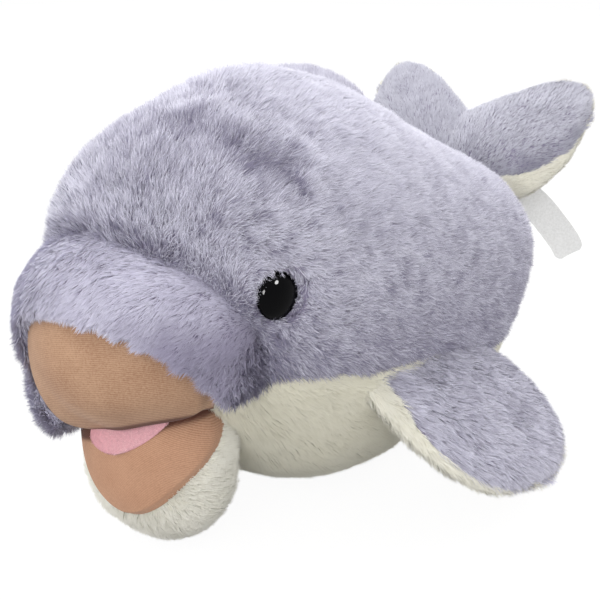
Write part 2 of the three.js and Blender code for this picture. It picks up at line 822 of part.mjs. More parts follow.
// Tongue, lying on the lower lining and clear of the snout and the lining while it lifts
const slope = rad(tongueSlope);
const tongueOut = new THREE.Vector3(0, -Math.cos(slope), -Math.sin(slope));
const tongueGeometry = limbForm({
  root: new THREE.Vector3(...tongueRoot),
  along: tongueOut,
  chordWay: unitX,
  span: tongueLength,
  chord: tongueWidth,
  thick: tongueThick,
  rows: tongueRows,
  facets: limbCoreFacets,
  grow: 0,
});
const liftAngles = sweep(-tongueLift, 0);
let tongueRoom = solid(jawForm(liningThick - pile + gap));
for (const angle of [0, ...closeAngles]) {
  const snoutSeen = turned(snoutForm(gap), jawHinge, closeAxis, -angle);
  const bodySeen = turned(bodyRoom, jawHinge, closeAxis, -angle);
  tongueRoom = tongueRoom
    .add(carrierRoom(snoutSeen, tongueRoot, unitX, liftAngles))
    .add(carrierRoom(bodySeen, tongueRoot, unitX, liftAngles));
}
addNode("tongue", whole(solid(tongueGeometry).subtract(tongueRoom)), pink, 0.8);

// Care label
const facing = new THREE.Vector3(...labelFacing).normalize();
const line = labelLine.map((p) => new THREE.Vector3(...p));
const labelRings = [];
for (let i = 0; i < line.length; i += 1) {
  const before = line[Math.max(i - 1, 0)];
  const after = line[Math.min(i + 1, line.length - 1)];
  const wide = new THREE.Vector3().crossVectors(after.clone().sub(before), facing).normalize();
  const half = (i === line.length - 1 ? 0.7 : 1) * (labelWidth / 2);
  const corner = (a, b) => line[i]
    .clone()
    .addScaledVector(wide, a * half)
    .addScaledVector(facing, (b * labelThick) / 2);
  labelRings.push([corner(-1, -1), corner(1, -1), corner(1, 1), corner(-1, 1)]);
}
const labelAxis = new THREE.Vector3().crossVectors(line[1].clone().sub(line[0]), facing).normalize();
const labelAngles = [-labelSwing, labelSwing];
let labelRoom = carrierRoom(flukeForm(gap), labelLine[1], labelAxis, labelAngles);
for (const angle of [-flukeFlap, 0, flukeFlap]) {
  const tailSeen = turned(tailForm(gap, limbFacets), flukeHinge, unitX, -angle);
  const bodySeen = turned(bodyRoom, flukeHinge, unitX, -angle);
  labelRoom = labelRoom
    .add(carrierRoom(tailSeen, labelLine[1], labelAxis, labelAngles))
    .add(carrierRoom(bodySeen, labelLine[1], labelAxis, labelAngles));
}
const labelSolid = solid(loft(labelRings, line[0], line[line.length - 1]));
addNode("care_label", whole(labelSolid.subtract(labelRoom)), labelWhite, 0.7);

// The frame's origin stands under the middle of the whole dolphin
const bounds = new THREE.Box3().setFromObject(group);
group.position.set(0, -(bounds.min.y + bounds.max.y) / 2, 0);

export default group;
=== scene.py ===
import math

import bpy
import numpy as np
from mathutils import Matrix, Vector


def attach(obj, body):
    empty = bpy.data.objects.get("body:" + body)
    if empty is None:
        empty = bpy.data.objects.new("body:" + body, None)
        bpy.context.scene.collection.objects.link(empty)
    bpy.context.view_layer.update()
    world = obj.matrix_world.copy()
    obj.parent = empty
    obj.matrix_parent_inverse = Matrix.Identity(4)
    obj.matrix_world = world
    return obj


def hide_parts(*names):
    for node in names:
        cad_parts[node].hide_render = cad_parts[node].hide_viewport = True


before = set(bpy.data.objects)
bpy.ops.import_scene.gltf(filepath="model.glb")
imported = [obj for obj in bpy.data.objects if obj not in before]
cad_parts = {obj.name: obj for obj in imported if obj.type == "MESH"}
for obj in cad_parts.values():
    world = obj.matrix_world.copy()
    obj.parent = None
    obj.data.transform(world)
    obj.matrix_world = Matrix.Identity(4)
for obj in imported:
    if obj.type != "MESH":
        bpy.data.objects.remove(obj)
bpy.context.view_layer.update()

# Plush dolphin. Sizes are millimetres as the solids were drawn, and place() takes them to metres in the
# shared frame, whose origin lies this far off along y
MM = 0.001
SHIFT_Y = -21.5656

# Least half width of a form, and the value of a form beyond its ends
THINNEST = 0.4
BEYOND = 9.0

# Cloth backing lies this far under the outline of the solids, and the pile stands on it
BODY_SKIN = -4.0
LIMB_SKIN = -2.8
PALATE_SKIN = -0.5
JAW_LINING_SKIN = -3.6

BODY = {
    "front": -150.0,
    "length": 345.0,
    "width": 196.0,
    "height": 222.0,
    "base": -1.3,
    "upper": 2.13,
    "lower": 2.13,
    "rows": [
        [0, 0, 0.745, 0.745],
        [0.009, 0.27, 0.8, 0.64],
        [0.04, 0.5, 0.862, 0.49],
        [0.09, 0.7, 0.925, 0.33],
        [0.145, 0.83, 0.965, 0.21],
        [0.215, 0.92, 0.995, 0.11],
        [0.296, 0.98, 1.01, 0.035],
        [0.377, 1, 1.005, 0],
        [0.493, 1, 0.96, 0],
        [0.61, 0.98, 0.875, 0],
        [0.725, 0.92, 0.77, 0.03],
        [0.826, 0.81, 0.67, 0.1],
        [0.913, 0.63, 0.575, 0.2],
        [0.974, 0.35, 0.49, 0.3],
        [1, 0, 0.4, 0.4],
    ],
}
# Share of the length and height of the seam between back and belly
SEAM_ROWS = [
    [0, 0.45], [0.15, 0.45], [0.27, 0.421], [0.38, 0.4],
    [0.47, 0.365], [0.61, 0.305], [0.78, 0.29], [1, 0.34],
]

SNOUT = {
    "front": -181.0,
    "length": 98.0,
    "width": 140.0,
    "height": 104.0,
    "base": 112.0,
    "upper": 1.85,
    "lower": 2.1,
    "rows": [
        [0, 0, 0.06, 0.06],
        [0.03, 0.28, 0.25, -0.1],
        [0.12, 0.55, 0.4, -0.24],
        [0.3, 0.82, 0.52, -0.37],
        [0.5, 0.97, 0.57, -0.45],
        [0.7, 1, 0.54, -0.46],
        [0.88, 0.86, 0.38, -0.38],
        [1, 0, 0, 0],
    ],
}
PALATE_RECESS = 7.0
PALATE_SAG = 5.0
PALATE_NARROW = 0.88

JAW_TOP = 86.0
JAW_FOOT = 0.5
JAW_ROUND = 2.3
JAW_WIDTH = 88.0
JAW_FRONT = -148.0
JAW_DEPTH = 66.0
JAW_ROWS = [
    [0, 0.22, 0.5, 0.3],
    [0.03, 0.4, 0.37, 0.21],
    [0.12, 0.64, 0.19, 0.1],
    [0.3, 0.9, 0.04, 0.02],
    [0.55, 1, 0, 0],
    [0.85, 0.97, 0.02, 0],
    [1, 0.8, 0.16, 0.1],
]


# Maths helpers
def read_rows(rows, column, share):
    """Smooth curve through rows of [share, value, ...], read at an array of shares."""
    table = np.asarray(rows, float)
    x = table[:, 0]
    v = table[:, column]
    last = len(x) - 1
    ahead = np.minimum(np.arange(last + 1) + 1, last)
    behind = np.maximum(np.arange(last + 1) - 1, 0)
    slope = (v[ahead] - v[behind]) / (x[ahead] - x[behind])
    share = np.asarray(share, float)
    k = np.clip(np.searchsorted(x[1:-1], share, side="left"), 0, last - 1)
    span = x[k + 1] - x[k]
    t = (share - x[k]) / span
    t2 = t * t
    t3 = t2 * t
    return (
        (2 * t3 - 3 * t2 + 1) * v[k]
        + (t3 - 2 * t2 + t) * slope[k] * span
        + (3 * t2 - 2 * t3) * v[k + 1]
        + (t3 - t2) * slope[k + 1] * span
    )


def power(value, exponent):
    """Power that keeps the sign."""
    return np.sign(value) * np.abs(value) ** exponent


def unit(vectors):
    return vectors / np.maximum(np.linalg.norm(vectors, axis=-1, keepdims=True), 1e-9)


def smooth(low, high, value):
    """Eased step from 0 at low to 1 at high."""
    t = np.clip((value - low) / (high - low), 0, 1)
    return t * t * (3 - 2 * t)


def lattice(cell, seed):
    """Random number from 0 to 1 for each whole-number cell."""
    h = cell[..., 0] * 73856093 ^ cell[..., 1] * 19349663 ^ cell[..., 2] * 83492791 ^ (seed * 2654435761)
    h = (h ^ (h >> 13)) & 0x7FFFFFFF
    h = (h * 1274126177) & 0x7FFFFFFF
    h = (h ^ (h >> 15)) & 0x7FFFFFFF
    return h / float(0x7FFFFFFF)


def noise(points, size, seed):
    """Smooth noise from -1 to 1 at points, with lumps of the given size."""
    q = points / size
    low = np.floor(q).astype(np.int64)
    f = q - low
    f = f * f * (3 - 2 * f)
    total = 0.0
    for corner in range(8):
        step = np.array([corner & 1, (corner >> 1) & 1, (corner >> 2) & 1])
        weight = np.prod(np.where(step == 1, f, 1 - f), axis=-1)
        total = total + weight * lattice(low + step, seed)
    return 2 * total - 1


def grid_normals(grid, inside):
    """Normals of a grid of points, facing away from the point or points inside."""
    n = np.cross(np.gradient(grid, axis=0), np.gradient(grid, axis=1))
    length = np.linalg.norm(n, axis=-1)
    weak = length < 1e-6 * length.max()
    n = unit(n)
    if (n * (grid - inside)).sum(axis=-1).mean() < 0:
        n = -n
    extent = np.ptp(grid.reshape(-1, 3), axis=0).max()
    for row in (0, grid.shape[0] - 1):
        if weak[row].any() or np.ptp(grid[row], axis=0).max() < 0.02 * extent:
            near = 1 if row == 0 else row - 1
            n[row] = unit(n[near].mean(axis=0, keepdims=True))
    return n


def relaxed(grid, times):
    """Rings round a pole, with every point but the last ring's drawn towards its neighbours."""
    grid = grid[:, :-1].copy()
    for _ in range(times):
        around = np.roll(grid, 1, axis=1) + np.roll(grid, -1, axis=1)
        grid[1:-1] = 0.5 * grid[1:-1] + 0.125 * (grid[:-2] + grid[2:] + around[1:-1])
        grid[0] = grid[1].mean(axis=0)
    return np.concatenate([grid, grid[:, :1]], axis=1)


def evened(values, times):
    """Values round a closed ring, each drawn towards its neighbours."""
    values = values[:-1]
    for _ in range(times):
        values = 0.5 * values + 0.25 * (np.roll(values, 1) + np.roll(values, -1))
    return np.append(values, values[0])


def mirrored(points):
    """Points with those of the right half moved over to the left."""
    return np.concatenate([np.abs(points[..., :1]), points[..., 1:]], axis=-1)


def raised(grid, normals, by):
    """Grid moved along its normals."""
    return grid + normals * by[..., None]


def end_shares(count, first):
    """Shares from one end to the other, closer together at both ends."""
    return 0.5 - 0.5 * np.cos(np.linspace(first, math.pi - first, count))


def place(points):
    """Drawing millimetres to metres in the frame."""
    return (np.asarray(points, float) + [0, SHIFT_Y, 0]) * MM


# Forms of the solids
def form_ring(form, share, grow):
    """Half width, top and bottom of a form at a share of its length, grown outwards."""
    top = form["base"] + read_rows(form["rows"], 2, share) * form["height"] + grow
    bottom = form["base"] + read_rows(form["rows"], 3, share) * form["height"] - grow
    half = np.maximum(read_rows(form["rows"], 1, share) * form["width"] / 2 + grow, THINNEST)
    return half, top, bottom


def form_point(form, share, angle, grow):
    """Points at angles round a form's rings."""
    half, top, bottom = form_ring(form, share, grow)
    middle = (top + bottom) / 2
    tall = np.maximum((top - bottom) / 2, THINNEST)
    exponent = np.where(np.sin(angle) > 0, 2 / form["upper"], 2 / form["lower"])
    x = half * power(np.cos(angle), exponent)
    z = middle + tall * power(np.sin(angle), exponent)
    y = form["front"] - grow + share * (form["length"] + 2 * grow) + 0 * angle
    return np.stack([x, y + 0 * x, z], axis=-1)


def form_value(form, points, grow):
    """Under 1 inside the form, over 1 outside."""
    share = (points[..., 1] - form["front"] + grow) / (form["length"] + 2 * grow)
    beyond = (share < 0) | (share > 1)
    half, top, bottom = form_ring(form, np.clip(share, 0, 1), grow)
    z = points[..., 2] - (top + bottom) / 2
    tall = np.maximum((top - bottom) / 2, THINNEST)
    exponent = np.where(z > 0, form["upper"], form["lower"])
    value = np.abs(points[..., 0] / half) ** exponent + np.abs(z / tall) ** exponent
    return np.where(beyond, BEYOND, value)


def palate_value(points, grow):
    """The same for the palate, which is the snout's form narrowed, sagging and let in."""
    moved = points * [1 / PALATE_NARROW, 1, 1] + [0, 0, PALATE_SAG]
    return form_value(SNOUT, moved, grow - PALATE_RECESS)


def jaw_value(points, grow):
    """The same for the jaw, which is built of level rings."""
    share = (points[..., 2] + JAW_FOOT + grow) / (JAW_TOP + JAW_FOOT + 2 * grow)
    beyond = (share < 0) | (share > 1)
    share = np.clip(share, 0, 1)
    half = read_rows(JAW_ROWS, 1, share) * JAW_WIDTH / 2 + grow
    front = JAW_FRONT + read_rows(JAW_ROWS, 2, share) * JAW_DEPTH - grow
    back = JAW_FRONT + JAW_DEPTH - read_rows(JAW_ROWS, 3, share) * JAW_DEPTH + grow
    deep = (back - front) / 2
    y = points[..., 1] - (front + back) / 2
    value = np.abs(points[..., 0] / half) ** JAW_ROUND + np.abs(y / deep) ** JAW_ROUND
    return np.where(beyond, BEYOND, value)


def last_inside(shape, most, inside, steps):
    """Value from 0 to most at which inside() stops being true, found by halving, for each element."""
    low = np.zeros(shape)
    high = np.full(shape, float(most))
    for _ in range(steps):
        middle = (low + high) / 2
        still = inside(middle)
        low = np.where(still, middle, low)
        high = np.where(still, high, middle)
    return (low + high) / 2


def reach(centre, directions, value, most=190.0):
    """Distance from a centre to where value passes 1, along each direction."""
    def inside(far):
        return value(centre + directions * far[..., None]) < 1

    return last_inside(directions.shape[:-1], most, inside, steps=26)


def ellipsoid_reach(centre, directions, middle, radii):
    """Distance from a centre to the far side of an ellipsoid along each direction, or 0 where it misses."""
    o = (np.asarray(centre) - middle) / radii
    d = directions / radii
    a = (d * d).sum(axis=-1)
    b = (d * o).sum(axis=-1)
    c = (o * o).sum(axis=-1) - 1
    inner = b * b - a * c
    far = (-b + np.sqrt(np.maximum(inner, 0))) / a
    return np.where((inner > 0) & (far > 0), far, 0.0)


def limb_grid(root, along, chord_way, span, chord, thick, rows, shares, angles):
    """Cloth of a flat limb: rings at shares of the span, with points at the given angles round each ring."""
    normal = unit(np.cross(along, chord_way))
    s = shares[:, None]
    half = np.maximum(read_rows(rows, 1, s) * chord / 2 + LIMB_SKIN, THINNEST)
    deep = np.maximum(read_rows(rows, 2, s) * thick / 2 + LIMB_SKIN, THINNEST)
    sweep = read_rows(rows, 3, s) * chord
    out = (s * (span + 2 * LIMB_SKIN) - LIMB_SKIN)[..., None] * along
    sideways = (sweep + half * np.cos(angles))[..., None] * chord_way
    return root + out + sideways + (deep * np.sin(angles))[..., None] * normal


# Meshes
def new_object(name, mesh, body, material):
    """Visible piece that rides on a body and has a material slot."""
    obj = bpy.data.objects.new(name, mesh)
    bpy.context.scene.collection.objects.link(obj)
    mesh.materials.append(material)
    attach(obj, body)
    return obj


# Share of a tucked edge's depth at which it bends
TUCK_BEND = 0.45


def grid_mesh(name, grid, normals, tuck=(0, 0, 0, 0)):
    """Mesh of a grid. tuck turns the first and last row and the first and last column in by so much."""
    for side, depth in enumerate(tuck):
        if not depth:
            continue
        axis, at_end = divmod(side, 2)
        index = -1 if at_end else 0
        edge = np.take(grid, [index], axis=axis)
        way = np.take(normals, [index], axis=axis)
        steps = [grid, edge - way * depth * TUCK_BEND, edge - way * depth]
        ways = [normals, way, way]
        if not at_end:
            steps.reverse()
            ways.reverse()
        grid = np.concatenate(steps, axis=axis)
        normals = np.concatenate(ways, axis=axis)
    rows, columns = grid.shape[:2]
    index = np.arange(rows * columns).reshape(rows, columns)
    corners = [index[:-1, :-1], index[1:, :-1], index[1:, 1:], index[:-1, 1:]]
    quads = np.stack(corners, axis=-1).reshape(-1, 4)
    flat = grid.reshape(-1, 3)
    face = np.cross(flat[quads[:, 2]] - flat[quads[:, 0]], flat[quads[:, 3]] - flat[quads[:, 1]])
    if (face * normals.reshape(-1, 3)[quads[:, 0]]).sum() < 0:
        quads = quads[:, ::-1]
    mesh = bpy.data.meshes.new(name)
    mesh.from_pydata(place(flat).tolist(), [], quads.tolist())
    mesh.polygons.foreach_set("use_smooth", np.ones(len(mesh.polygons), bool))
    mesh.update()
    return mesh


def skin(name, grid, normals, body, material, nodes, tuck=(0, 0, 0, 0)):
    """Cloth that replaces nodes of the frame."""
    obj = new_object(name, grid_mesh(name, grid, normals, tuck), body, material)
    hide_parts(*nodes)
    return obj


# Corners of a strand in OFBake: share of its shade's column and share of its height
STRAND_UV = ((0.1, 0.02), (0.9, 0.02), (0.5, 0.98))
# Number of shades across OFBake
TINTS = 32
# Depth of a strand's root under its cloth, and how far its tip is drawn into its tuft
ROOT_DEPTH = 0.5
TUFT_PULL = 0.4
# Spread of chance, from strand to strand, in its turn, its tilt, its roll and its shade
TURN_CHANCE = 0.24
TILT_CHANCE = 0.12
ROLL_CHANCE = 0.5
SHADE_CHANCE = 0.18
# Least and greatest tilt of a strand off the normal, in radians, and the middle of the shades
TILTS = (0.1, 1.4)
MIDDLE_SHADE = 0.6


def scattered(grid, density, keep, local):
    """Number of random places on a grid, even by area, and a function that reads a field of it at them."""
    a, b = grid[:-1, :-1], grid[1:, :-1]
    c, d = grid[1:, 1:], grid[:-1, 1:]
    weight = 0.5 * np.linalg.norm(np.cross(c - a, d - b), axis=-1)
    if keep is not None:
        weight = weight * keep((a + b + c + d) / 4)
    count = int(weight.sum() * density)
    cells = local.choice(weight.size, size=count, p=(weight / weight.sum()).ravel())
    rows, columns = np.unravel_index(cells, weight.shape)
    u = local.random(count)[:, None]
    v = local.random(count)[:, None]

    def mixed(field):
        low = field[rows, columns] * (1 - u) + field[rows + 1, columns] * u
        high = field[rows, columns + 1] * (1 - u) + field[rows + 1, columns + 1] * u
        return low * (1 - v) + high * v

    return count, mixed


def strand_mesh(name, points, order, normals, column):
    """Mesh of a triangle for each strand: its corners, their order, its normal and its shade's column."""
    count = len(points)
    uv = np.empty((count, 3, 2))
    for corner, (across, up) in enumerate(STRAND_UV):
        uv[:, corner] = np.stack([(column + across) / TINTS, np.full(count, up)], axis=-1)
    vertices = (np.arange(count)[:, None] * 3 + order).ravel()
    mesh = bpy.data.meshes.new(name)
    mesh.vertices.add(count * 3)
    mesh.vertices.foreach_set("co", place(points.reshape(-1, 3)).astype(np.float32).ravel())
    mesh.loops.add(count * 3)
    mesh.loops.foreach_set("vertex_index", vertices.astype(np.int32))
    mesh.polygons.add(count)
    mesh.polygons.foreach_set("loop_start", np.arange(count, dtype=np.int32) * 3)
    mesh.polygons.foreach_set("use_smooth", np.ones(count, bool))
    layer = mesh.uv_layers.new(name="OFBake")
    layer.data.foreach_set("uv", uv.reshape(-1, 2)[vertices].astype(np.float32).ravel())
    mesh.update(calc_edges=True)
    mesh.normals_split_custom_set_from_vertices(np.repeat(normals, 3, axis=0).astype(np.float32))
    return mesh


def fur(name, grid, normals, body, material, density, length, comb, lean=1.0, width=0.55, painted_light_and_tone=0.0,
        keep=None, stretch=1.0, seed=1, flat=0.7, clump=4.5, grain=1.0):
    """Pile of fine pointed strands on a grid, so many to a square millimetre.

    comb gives the way the strands lie, lean how far they lie over, the shift of their shade paints light and
    shade on them and gives their own tone, keep the share kept, stretch their length, clump the size of
    their tufts, flat how even their light is and grain how ruffled they look.
    """
    local = np.random.default_rng(seed)
    count, mixed = scattered(grid, density, keep, local)
    root = mixed(grid)
    normal = unit(mixed(normals))

    def at_roots(value):
        if callable(value):
            return value(root)
        return mixed(value[..., None])[..., 0] if isinstance(value, np.ndarray) else value

    way = comb(root) if callable(comb) else mixed(comb)
    way = unit(way - normal * (way * normal).sum(axis=-1, keepdims=True))
    side = np.cross(normal, way)
    grain = at_roots(grain)
    ruffle = 0.3 * noise(root, 5.0, seed + 5) + local.normal(0, TURN_CHANCE, count)
    turn = 0.4 * noise(root, 14.0, seed + 3) + grain * ruffle
    way = way * np.cos(turn)[:, None] + side * np.sin(turn)[:, None]
    side = np.cross(normal, way)
    tilt = at_roots(lean) + 0.14 * noise(root, 9.0, seed + 7)
    tilt = tilt + grain * (0.14 * noise(root, 3.4, seed + 9) + local.normal(0, TILT_CHANCE, count))
    tilt = np.clip(tilt, *TILTS)[:, None]
    long = length * (0.8 + 0.4 * local.random(count)) * (1 + 0.1 * noise(root, 5.0, seed + 11))
    long = (long * at_roots(stretch))[:, None]
    start = root - normal * ROOT_DEPTH
    tip = start + (normal * np.cos(tilt) + way * np.sin(tilt)) * long

    # Tips draw together into small tufts
    warp = np.stack([noise(root, 7.0, seed + 15 + k) for k in range(3)], axis=-1)
    loose = local.normal(0, 0.22 * clump, (count, 3))
    cell = np.floor((root + 2.5 * warp + loose) / clump).astype(np.int64)
    drift = np.stack([lattice(cell, seed + 21 + k) for k in range(3)], axis=-1)
    pull = (cell + drift) * clump - root
    pull = pull - normal * (pull * normal).sum(axis=-1, keepdims=True)
    tip = tip + TUFT_PULL * pull

    roll = local.normal(0, ROLL_CHANCE, count)[:, None]
    across = side * np.cos(roll) + np.cross(unit(tip - start), side) * np.sin(roll)
    half = 0.5 * width * (0.75 + 0.5 * local.random(count))[:, None]
    points = np.stack([start - across * half, start + across * half, tip], axis=1)

    blade = unit(np.cross(across, tip - start))
    away = (blade * normal).sum(axis=-1, keepdims=True) < 0
    blade = np.where(away, -blade, blade)
    shade = unit(normal * flat + blade * (1 - flat))

    specks = np.maximum(noise(root, 3.0, seed + 31) - 0.3, 0)
    level = MIDDLE_SHADE + 0.15 * noise(root, 8.0, seed + 13)
    ruffle = 0.12 * noise(root, 2.6, seed + 14) + local.normal(0, SHADE_CHANCE, count) - 0.9 * specks
    level = level + grain * ruffle
    # Painted light and shade, and the strands' own tone, shift each strand's shade
    level = level + at_roots(painted_light_and_tone)
    column = np.clip((level * TINTS).astype(int), 0, TINTS - 1)
    order = np.where(away, [1, 0, 2], [0, 1, 2])
    new_object(name, strand_mesh(name, points, order, shade, column), body, material)


def paint(obj, name, value):
    """Float on each point of a piece, from a function of the points in millimetres."""
    mesh = obj.data
    points = np.empty(len(mesh.vertices) * 3)
    mesh.vertices.foreach_get("co", points)
    points = points.reshape(-1, 3) / MM - [0, SHIFT_Y, 0]
    layer = mesh.attributes.new(name, "FLOAT", "POINT")
    layer.data.foreach_set("value", value(points).astype(np.float32))


# Materials
def srgb(r, g, b):
    def linear(value):
        value = value / 255
        return value / 12.92 if value <= 0.04045 else ((value + 0.055) / 1.055) ** 2.4
    return (linear(r), linear(g), linear(b), 1.0)


def feed(tree, socket, given):
    """Link an input to another node's output, or give it a fixed value."""
    if isinstance(given, bpy.types.NodeSocket):
        tree.links.new(given, socket)
    else:
        socket.default_value = given


def node(tree, kind, **inputs):
    """New node with its inputs fed, an underscore standing for a space in their names."""
    made = tree.nodes.new(kind)
    for key, given in inputs.items():
        feed(tree, made.inputs[key.replace("_", " ")], given)
    return made


def maths(tree, operation, *values):
    made = tree.nodes.new("ShaderNodeMath")
    made.operation = operation
    for socket, given in zip(made.inputs, values):
        feed(tree, socket, given)
    return made.outputs[0]


def mixed_colour(tree, share, low, high):
    mix = tree.nodes.new("ShaderNodeMix")
    mix.data_type = "RGBA"
    for index, given in ((0, share), (6, low), (7, high)):
        feed(tree, mix.inputs[index], given)
    return mix.outputs[2]


def object_coords(tree):
    return tree.nodes.new("ShaderNodeTexCoord").outputs["Object"]


WHITE = (1.0, 1.0, 1.0, 1.0)
# Colour of the painted shade in the mouth crease
CREASE_SHADE_BROWN = (0.09, 0.023, 0.012, 1.0)
SOCKET_KINDS = {1: "NodeSocketFloat", 3: "NodeSocketVector", 4: "NodeSocketColor"}


def node_group(name, inputs, outputs):
    """Empty shader node group with named inputs and outputs, each with a first value that tells its kind."""
    tree = bpy.data.node_groups.new(name, "ShaderNodeTree")
    for side, sockets in (("INPUT", inputs), ("OUTPUT", outputs)):
        for key, value in sockets.items():
            kind = SOCKET_KINDS[np.size(value)]
            tree.interface.new_socket(name=key, in_out=side, socket_type=kind).default_value = value
    return tree, tree.nodes.new("NodeGroupInput").outputs, tree.nodes.new("NodeGroupOutput").inputs


def placed(tree, group, **values):
    """The group as a node of a material, with its own values."""
    made = tree.nodes.new("ShaderNodeGroup")
    made.node_tree = group
    for key, value in values.items():
        made.inputs[key].default_value = value
    return made.outputs


def strand_shade_group():
    """Colour of a strand: its own shade across OFBake, from root to tip up it, darker towards the root as
    painted shade deep in the pile.
    """
    tree, given, out = node_group(
        "strand_shade", dict(Root=WHITE, Dark=WHITE, Light=WHITE), dict(Color=WHITE)
    )
    uv = tree.nodes.new("ShaderNodeUVMap")
    uv.uv_map = "OFBake"
    parts = node(tree, "ShaderNodeSeparateXYZ", Vector=uv.outputs["UV"])
    along = node(tree, "ShaderNodeMapRange", Value=parts.outputs["Y"], From_Min=-0.1, From_Max=0.85)
    along.interpolation_type = "SMOOTHSTEP"
    tip = mixed_colour(tree, parts.outputs["X"], given["Dark"], given["Light"])
    feed(tree, out["Color"], mixed_colour(tree, along.outputs["Result"], given["Root"], tip))
    return tree


def speckle_group():
    """Fine speckle between two colours."""
    tree, given, out = node_group("speckle", dict(Low=WHITE, High=WHITE), dict(Color=WHITE))
    grains = node(tree, "ShaderNodeTexNoise", Vector=object_coords(tree), Scale=700.0, Detail=3.0)
    feed(tree, out["Color"], mixed_colour(tree, grains.outputs["Fac"], given["Low"], given["High"]))
    return tree


def brushed_knit_group():
    """Wales of a brushed knit under its nap, darker with painted shade where the piece is painted along the
    mouth crease.
    """
    tree, given, out = node_group(
        "brushed_knit",
        dict(Low=WHITE, High=WHITE, Wales=400.0, Turn=(0, 0, 0), Ribs=0.3),
        dict(Color=WHITE, Height=0.0),
    )
    coords = object_coords(tree)
    ribs = given["Ribs"]
    turned = node(tree, "ShaderNodeMapping", Vector=coords, Rotation=given["Turn"])
    lines = node(tree, "ShaderNodeTexWave", Vector=turned.outputs["Vector"], Scale=given["Wales"],
                 Distortion=1.6, Detail=2.0, Detail_Scale=3.0)
    lines.bands_direction = "Z"
    nap = node(tree, "ShaderNodeTexNoise", Vector=coords, Scale=1100.0, Detail=4.0, Roughness=0.7)
    patches = node(tree, "ShaderNodeTexNoise", Vector=coords, Scale=60.0, Detail=3.0)
    height = maths(tree, "MULTIPLY_ADD", lines.outputs["Fac"], ribs, nap.outputs["Fac"])
    span = node(
        tree,
        "ShaderNodeMapRange",
        Value=maths(tree, "MULTIPLY_ADD", patches.outputs["Fac"], 0.5, height),
        From_Min=maths(tree, "MULTIPLY_ADD", ribs, 0.07, 0.58),
        From_Max=maths(tree, "MULTIPLY_ADD", ribs, 0.75, 0.92),
    )
    cloth = mixed_colour(tree, span.outputs["Result"], given["Low"], given["High"])
    # Painted shade along the mouth crease
    deep = tree.nodes.new("ShaderNodeAttribute")
    deep.attribute_name = "crease"
    feed(tree, out["Color"], mixed_colour(tree, deep.outputs["Fac"], cloth, CREASE_SHADE_BROWN))
    feed(tree, out["Height"], height)
    return tree


def haze_group():
    """Roughness of plain plastic, a little uneven from handling."""
    tree, given, out = node_group("haze", dict(Roughness=0.4), dict(Roughness=0.4))
    smears = node(tree, "ShaderNodeTexNoise", Vector=object_coords(tree), Scale=160.0, Detail=2.0)
    span = node(tree, "ShaderNodeMapRange", Value=smears.outputs["Fac"], To_Min=0.8, To_Max=1.3)
    feed(tree, out["Roughness"], maths(tree, "MULTIPLY", given["Roughness"], span.outputs["Result"]))
    return tree


STRAND_SHADE = strand_shade_group()
SPECKLE = speckle_group()
BRUSHED_KNIT = brushed_knit_group()
HAZE = haze_group()


def new_material(name, **values):
    """Material with fixed values on its shader, its tree and its shader's inputs."""
    material = bpy.data.materials.new(name)
    material.use_nodes = True
    tree = material.node_tree
    inputs = tree.nodes["Principled BSDF"].inputs
    for key, value in values.items():
        inputs[key.replace("_", " ")].default_value = value
    return material, tree, inputs


def pile_material(name, root, dark, light):
    """Pile, in the colour of its roots, which is painted shade deep in the pile, and the two ends of its
    range of shades.
    """
    material, tree, shader = new_material(
        name, Roughness=0.85, Specular_IOR_Level=0.12, Sheen_Weight=0.25, Sheen_Roughness=0.6
    )
    shade = placed(tree, STRAND_SHADE, Root=srgb(*root), Dark=srgb(*dark), Light=srgb(*light))
    feed(tree, shader["Base Color"], shade["Color"])
    return material


def cloth_material(name, colour, rough=0.95):
    """Knitted backing under the pile, seen only between strands, and other plain cloth."""
    material, tree, shader = new_material(name, Roughness=rough, Specular_IOR_Level=0.1)
    low = tuple(0.75 * c for c in srgb(*colour)[:3]) + (1,)
    high = tuple(min(1, 1.15 * c) for c in srgb(*colour)[:3]) + (1,)
    feed(tree, shader["Base Color"], placed(tree, SPECKLE, Low=low, High=high)["Color"])
    return material


def lining_material(name, low, high, wale, turn, ribs):
    """Brushed knit of the mouth. wale is the step of its lines and ribs how much they show."""
    material, tree, shader = new_material(name, Roughness=0.9, Specular_IOR_Level=0.15, Sheen_Weight=0.1)
    knit = placed(
        tree, BRUSHED_KNIT, Low=srgb(*low), High=srgb(*high), Wales=0.5 / wale, Turn=turn, Ribs=ribs
    )
    feed(tree, shader["Base Color"], knit["Color"])
    bump = node(tree, "ShaderNodeBump", Strength=0.5, Distance=0.0003, Height=knit["Height"])
    feed(tree, shader["Normal"], bump.outputs["Normal"])
    return material


def plastic_material(name, colour, rough, specular=0.5):
    material, tree, shader = new_material(
        name, Base_Color=colour, Roughness=rough, Specular_IOR_Level=specular
    )
    feed(tree, shader["Roughness"], placed(tree, HAZE, Roughness=rough)["Roughness"])
    return material


# The first colour of each pile, at its roots, is darker as painted shade deep in the pile, less so on the
# roll and the flukes
LAVENDER_PILE = pile_material("lavender_pile", (132, 126, 150), (143, 139, 163), (236, 235, 248))
ROLL_PILE = pile_material("roll_pile", (160, 154, 177), (164, 159, 182), (226, 224, 240))
FLUKE_PILE = pile_material("fluke_pile", (156, 154, 171), (158, 157, 173), (226, 226, 236))
